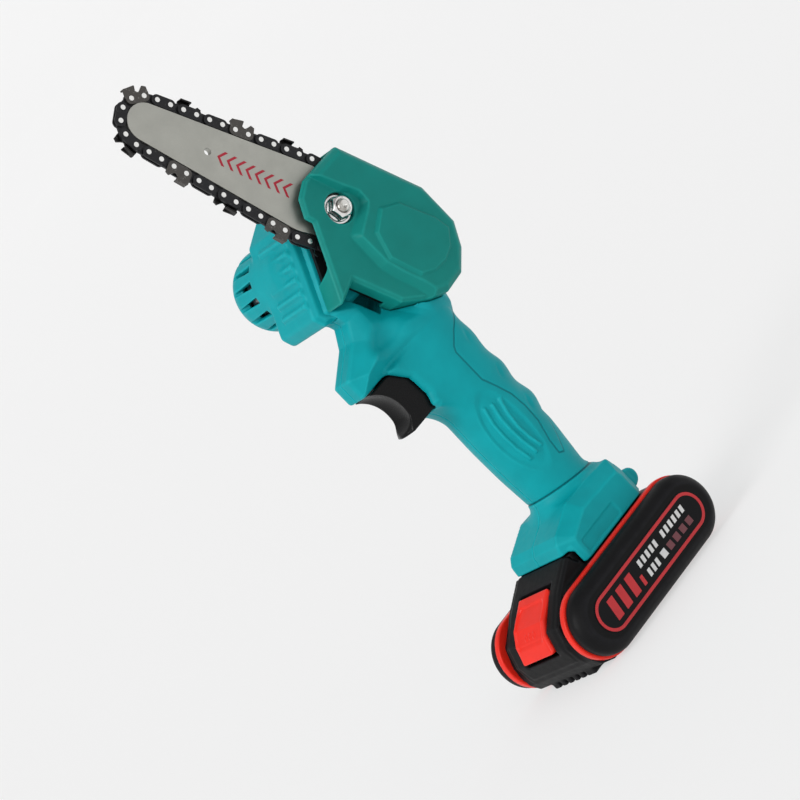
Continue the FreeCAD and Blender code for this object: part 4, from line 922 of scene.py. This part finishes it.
class Shader:
    """A Principled material with its own nodes, built up a feature at a time."""

    def __init__(self, name, color, rough, metal=0.0, gloss=0.5):
        self.name = name
        self.material = bpy.data.materials.new(name)
        self.material.use_nodes = True
        self.tree = self.material.node_tree
        self.main = self.tree.nodes["Principled BSDF"]
        self.color = (*color, 1)
        looks = {"Base Color": self.color, "Roughness": rough, "Metallic": metal, "Specular IOR Level": gloss}
        for label, value in looks.items():
            self.main.inputs[label].default_value = value
        self.place = self.add("ShaderNodeTexCoord").outputs["Object"]

    def add(self, kind, inputs=None, **settings):
        return add_node(self.tree, kind, inputs, **settings)

    def link(self, out, into):
        self.tree.links.new(out, into)

    def stretched(self, scale):
        node = self.add("ShaderNodeMapping", {"Scale": scale, "Vector": self.place})
        return node.outputs["Vector"]

    def noise(self, size, detail=4.0, rough=0.55, place=None):
        """Noise whose features are about this many millimetres across."""
        inputs = {"Scale": 1 / (size * MM), "Detail": detail, "Roughness": rough}
        inputs["Vector"] = place or self.place
        return self.add("ShaderNodeTexNoise", inputs).outputs["Fac"]

    def ranged(self, value, low, high, start=0.3, stop=0.7):
        inputs = {"From Min": start, "From Max": stop, "To Min": low, "To Max": high, "Value": value}
        return self.add("ShaderNodeMapRange", inputs, clamp=True).outputs["Result"]

    def mark(self, label):
        """A number kept on the mesh's vertices."""
        return self.add("ShaderNodeAttribute", attribute_name=label).outputs["Fac"]

    def times(self, a, b):
        return self.add("ShaderNodeMath", {0: a, 1: b}, operation="MULTIPLY").outputs[0]

    def painted_edge_highlight(self, color, share=0.6):
        """Painted highlight: outer edges are painted a little paler, as if they caught the light, broken up
        by noise.
        """
        edge = self.ranged(self.mark("edge_highlight"), 0.0, share, 0.05, 0.8)
        patches = self.ranged(self.noise(5.0, 4.0), 0.4, 1.0)
        return self.tint(self.times(edge, patches), color)

    def seam(self, label, half, color):
        """A fine dark groove where a signed distance on the mesh passes through nought."""
        size = self.add("ShaderNodeMath", {0: self.mark(label)}, operation="ABSOLUTE")
        line = self.ranged(size.outputs[0], 1.0, 0.0, half * 0.5, half)
        self.tint(line, color)
        flat = self.ranged(size.outputs[0], 0.0, 1.0, 0.0, half)
        return self.bump(flat, 0.2)

    def tint(self, mask, color):
        """The base colour goes over to another colour where the mask is 1."""
        base = self.main.inputs["Base Color"]
        before = base.links[0].from_socket if base.is_linked else self.color
        node = self.add("ShaderNodeMix", {6: before, 7: (*color, 1), 0: mask}, data_type="RGBA")
        self.link(node.outputs[2], base)
        return self

    def vary_rough(self, mask, low, high):
        self.link(self.ranged(mask, low, high), self.main.inputs["Roughness"])
        return self

    def bump(self, height, distance, strength=1.0):
        """Adds relief, in millimetres, over any relief that is there already."""
        inputs = {"Strength": strength, "Distance": distance * MM, "Height": height}
        node = self.add("ShaderNodeBump", inputs)
        normal = self.main.inputs["Normal"]
        if normal.is_linked:
            self.link(normal.links[0].from_socket, node.inputs["Normal"])
        self.link(node.outputs["Normal"], normal)
        return self


def moulded(name, color, rough, grain=0.35, relief=0.02, drift=0.12, gloss=0.3):
    """Moulded plastic: a fine spark-eroded grain and slow drifts of colour and gloss."""
    shader = Shader(name, color, rough, 0.0, gloss)
    slow = shader.noise(14.0, 3.0)
    darker = tuple(c * (1 - drift) for c in color)
    shader.tint(shader.ranged(slow, 0.0, 1.0, 0.35, 0.75), darker)
    shader.vary_rough(shader.noise(3.0, 5.0), rough - 0.05, rough + 0.07)
    shader.bump(shader.noise(grain, 2.0, 0.6), relief)
    shader.bump(shader.noise(22.0, 2.0), 0.12, 0.35)
    return shader


def steel(name, color, rough, streak=(1, 1, 1), grain=0.25, relief=0.006):
    """Metal with fine marks drawn out along one axis."""
    shader = Shader(name, color, rough, 1.0)
    lines = shader.noise(grain, 3.0, 0.6, shader.stretched(streak))
    cloud = shader.noise(9.0, 4.0)
    shader.tint(shader.ranged(cloud, 0.0, 0.5), tuple(c * 0.8 for c in color))
    shader.vary_rough(lines, rough - 0.08, rough + 0.1)
    shader.bump(lines, relief)
    return shader


def chrome(name, bright, dull):
    """Bright plated metal with smoky patches, as a nut gets from a spanner and oil."""
    shader = Shader(name, bright, 0.16, 1.0)
    shader.tint(shader.ranged(shader.noise(4.0, 2.0, 0.5), 0.0, 0.8, 0.50, 0.68), dull)
    shader.vary_rough(shader.noise(1.0, 4.0), 0.12, 0.24)
    shader.bump(shader.noise(1.4, 2.0), 0.012)
    return shader


def scuffed(name, color, rough, bare, metal=0.6):
    """Blackened steel with oily patches and rubbed spots where the bare metal shows."""
    shader = Shader(name, color, rough, metal)
    rubbed = shader.ranged(shader.noise(1.3, 6.0, 0.7), 0.0, 0.55, 0.58, 0.72)
    shader.tint(rubbed, bare)
    shader.vary_rough(shader.noise(2.2, 5.0), rough - 0.12, rough + 0.12)
    shader.bump(shader.noise(0.5, 4.0), 0.015)
    return shader


def teal_moulding():
    """The housing's plastic, with its two seams."""
    shader = moulded("teal_plastic", (0.002, 0.325, 0.362), 0.44, gloss=0.12)
    # painted highlight on the housing's outer edges
    shader.painted_edge_highlight((0.014, 0.46, 0.50), 0.4)
    shader.seam("collar", 0.5, (0.001, 0.13, 0.15))
    return shader.seam("pad", 0.55, (0.001, 0.175, 0.20))


def make_materials():
    """Every material by name, with its slot; printed inks have no slot."""
    made = (
        teal_moulding(),
        moulded("cover_teal", (0.004, 0.222, 0.194), 0.44, gloss=0.14)
        # painted highlight on the cover's outer edges
        .painted_edge_highlight((0.018, 0.34, 0.30), 0.4),
        moulded("black_plastic", (0.005, 0.005, 0.0055), 0.46, 0.5, 0.03, gloss=0.12)
        # painted highlight on the black plastic's outer edges
        .painted_edge_highlight((0.020, 0.020, 0.024), 0.4),
        moulded("black_gloss", (0.003, 0.003, 0.0034), 0.27, 1.0, 0.002, gloss=0.16),
        moulded("red_plastic", (0.82, 0.022, 0.010), 0.34, 0.5, 0.01, gloss=0.25),
        moulded("label_dark", (0.005, 0.005, 0.006), 0.36, 0.5, 0.004, gloss=0.12),
        moulded("ink_red", (0.52, 0.028, 0.034), 0.36, 0.5, 0.004),
        moulded("ink_dim", (0.16, 0.05, 0.06), 0.36, 0.5, 0.004),
        moulded("ink_white", (0.66, 0.66, 0.66), 0.36, 0.5, 0.004),
        moulded("ink_crimson", (0.40, 0.016, 0.036), 0.40, 0.5, 0.004),
        steel("bar_steel", (0.46, 0.46, 0.42), 0.46, (1, 1, 0.12), 0.12),
        scuffed("chain_black", (0.018, 0.018, 0.020), 0.42, (0.11, 0.105, 0.10)),
        scuffed("cutter_steel", (0.085, 0.080, 0.075), 0.34, (0.50, 0.49, 0.47), 0.9),
        scuffed("cutter_dark", (0.022, 0.021, 0.021), 0.36, (0.22, 0.22, 0.22), 0.8),
        steel("rivet_steel", (0.90, 0.90, 0.88), 0.30),
        steel("plain_steel", (0.46, 0.46, 0.47), 0.34),
        steel("gear_steel", (0.36, 0.36, 0.37), 0.40),
        chrome("stud_steel", (0.74, 0.73, 0.70), (0.30, 0.28, 0.25)),
        chrome("washer_zinc", (0.80, 0.80, 0.80), (0.42, 0.42, 0.43)),
        chrome("nut_steel", (0.82, 0.81, 0.80), (0.30, 0.29, 0.28)),
        moulded("magnet_grey", (0.10, 0.10, 0.11), 0.60),
        steel("contact_brass", (0.62, 0.42, 0.18), 0.28),
        moulded("cell_wrap", (0.05, 0.20, 0.45), 0.30),
        moulded("board_green", (0.02, 0.18, 0.06), 0.35),
    )
    return {shader.name: (shader.material, None if shader.name.startswith("ink") else shader.name)
            for shader in made}


def paint_frame(materials):
    """Every CAD node gets its slot's material."""
    slots = {part["node"]: part["material_slot"] for part in frame["record"]["subparts"]}
    for name, node in frame["nodes"].items():
        material = materials[slots[name]][0]
        node.data.materials.clear()
        node.data.materials.append(material)


# ---------------- stage

FLOOR_PROFILE = [(0.001, 0.0), (2.0, 0.0), (7.0, 0.0), (8.0, 0.12), (8.8, 0.6), (9.4, 1.5), (9.6, 3.2)]
FLOOR_SIDES, FLOOR_DROP = 96, 0.0001
FLOOR_GLOW, FLOOR_PALE = 0.568, 0.30


def make_stage():
    """A pale floor that curves up into a backdrop a long way off."""
    vertices = []
    for radius, up in FLOOR_PROFILE:
        for index in range(FLOOR_SIDES):
            angle = 2 * math.pi * index / FLOOR_SIDES
            vertices.append((radius * math.cos(angle), radius * math.sin(angle), up - FLOOR_DROP))
    faces = []
    for level in range(len(FLOOR_PROFILE) - 1):
        for index in range(FLOOR_SIDES):
            after = (index + 1) % FLOOR_SIDES
            a, b = level * FLOOR_SIDES, (level + 1) * FLOOR_SIDES
            faces.append((a + index, b + index, b + after, a + after))
    faces.append(tuple(range(FLOOR_SIDES)))
    floor = put("floor", smooth_mesh("floor", vertices, faces))
    paper = Shader("paper", (FLOOR_PALE, FLOOR_PALE, FLOOR_PALE), 0.9)
    paper.main.inputs["Emission Color"].default_value = (1, 1, 1, 1)
    paper.main.inputs["Emission Strength"].default_value = FLOOR_GLOW
    paper.bump(paper.noise(4.0), 0.01)
    floor.data.materials.append(paper.material)


SKY_DIM, SKY_BRIGHT = 0.16, 0.62
KEY_WAY = (0.80, 0.12, 0.55)
SUNS = (("key", KEY_WAY, 1.45, 30), ("camera_side", (0.35, 0.90, 0.35), 0.50, 50),
        ("back", (-0.55, -0.35, 0.75), 0.40, 50))


def make_sky():
    """A soft room, brighter on the key light's side."""
    world = bpy.data.worlds.new("soft_room")
    world.use_nodes = True
    tree = world.node_tree
    way = add_node(tree, "ShaderNodeTexCoord").outputs["Generated"]
    dot = add_node(tree, "ShaderNodeVectorMath", {0: way, 1: Vector(KEY_WAY).normalized()},
                   operation="DOT_PRODUCT").outputs["Value"]
    level = add_node(tree, "ShaderNodeMapRange",
                     {"From Min": -1.0, "To Min": SKY_DIM, "To Max": SKY_BRIGHT, "Value": dot})
    back = tree.nodes["Background"].inputs
    tree.links.new(level.outputs["Result"], back["Strength"])
    back["Color"].default_value = (1, 1, 1, 1)
    bpy.context.scene.world = world


def make_lights():
    make_sky()
    for name, way, power, spread in SUNS:
        light = bpy.data.lights.new(name, "SUN")
        light.energy = power
        light.angle = math.radians(spread)
        lamp = put(name, light)
        lamp.rotation_mode = "QUATERNION"
        lamp.rotation_quaternion = Vector(way).to_track_quat("Z", "Y")
        lamp.location = Vector(way) * 2


CAMERA_PLACE = (0.839593, 1.281073, 0.384875)
CAMERA_RIGHT = (-0.54316, 0.48182, -0.68762)
CAMERA_UP = (-0.64569, 0.28381, 0.70890)
CAMERA_BACK = (0.53672, 0.82904, 0.15695)
CAMERA_LENS, CAMERA_SENSOR = 157.5, 36.0


def make_camera():
    data = bpy.data.cameras.new("camera")
    data.lens = CAMERA_LENS
    data.sensor_width = CAMERA_SENSOR
    data.clip_start = 0.05
    data.clip_end = 60.0
    camera = put("camera", data)
    turn = Matrix((CAMERA_RIGHT, CAMERA_UP, CAMERA_BACK)).transposed().to_4x4()
    camera.matrix_world = Matrix.Translation(CAMERA_PLACE) @ turn
    bpy.context.scene.camera = camera
    bpy.context.scene.view_settings.view_transform = "Standard"


# ---------------- assembly

def make_shells(paint):
    """The pieces that stand for CAD nodes, then the printed marks."""
    teal, dark = paint["teal_plastic"], paint["cover_teal"]
    black, red = paint["black_plastic"], paint["red_plastic"]
    fine, finest = STEP * 0.75, STEP * 0.45
    seams = {"collar": collar_mark, "pad": pad_mark}
    for name, field, low, high in (("left", housing_left, (-63, 0, 35), (29, 27, 244)),
                                   ("right", housing_right, (-63, -60, 35), (29, 6, 244))):
        sculpt("shell_" + name, field, low, high, teal, "housing", ("housing_" + name,), marks=seams)
    sculpt("case_screws", screws, (-42, -12, 62), (24, 4.6, 166), paint["plain_steel"], "housing",
           ("housing_screws",), fine)
    sculpt("cover_shell", cover, (-64, 3, 160), (13, 28, 244), dark, "housing",
           ("sprocket_cover",), fine)
    for name, field, metal, reach, node in (("clamp_nut", clamp_nut, "nut_steel", 6.2, "cover_nut"),
                                            ("stud_finish", stud, "stud_steel", 3.4, "bar_stud")):
        low, high = depths(node)
        corner = (STUD[0] - reach, low - 0.4, STUD[1] - reach)
        opposite = (STUD[0] + reach, high + 0.4, STUD[1] + reach)
        sculpt(name, field, corner, opposite, paint[metal], "housing", (node,), finest)
    sculpt("trigger_blade", trigger, (-17, -8, 129), (27, 8, 156), paint["black_gloss"], "trigger",
           ("trigger",), fine)
    sculpt("pack_body", battery_core, (-51, -27, -0.5), (53, 27, 45), black, "battery",
           ("battery_core",))
    for name, sign in (("left", 1), ("right", -1)):
        for part, field, node, look, ends in (("band", battery_ring, "ring", red, (26.0, 30.0)),
                                              ("end", battery_cap, "cap", black, (29.6, 39.2))):
            low, high = sorted(sign * end for end in ends)
            sculpt("pack_%s_%s" % (part, name), field, (-53, low, -0.5), (53, high, 36.5), look,
                   "battery", ("battery_%s_%s" % (node, name),))
        make_label(name, sign, paint)
    sculpt("button_pad", release_button, (30, -13.5, 18), (54, 13.5, 41), red, "button",
           ("release_button",), fine)
    make_bar_marks(paint)


make_camera()
PAINT = make_materials()
paint_frame(PAINT)
make_shells(PAINT)
make_stage()
make_lights()
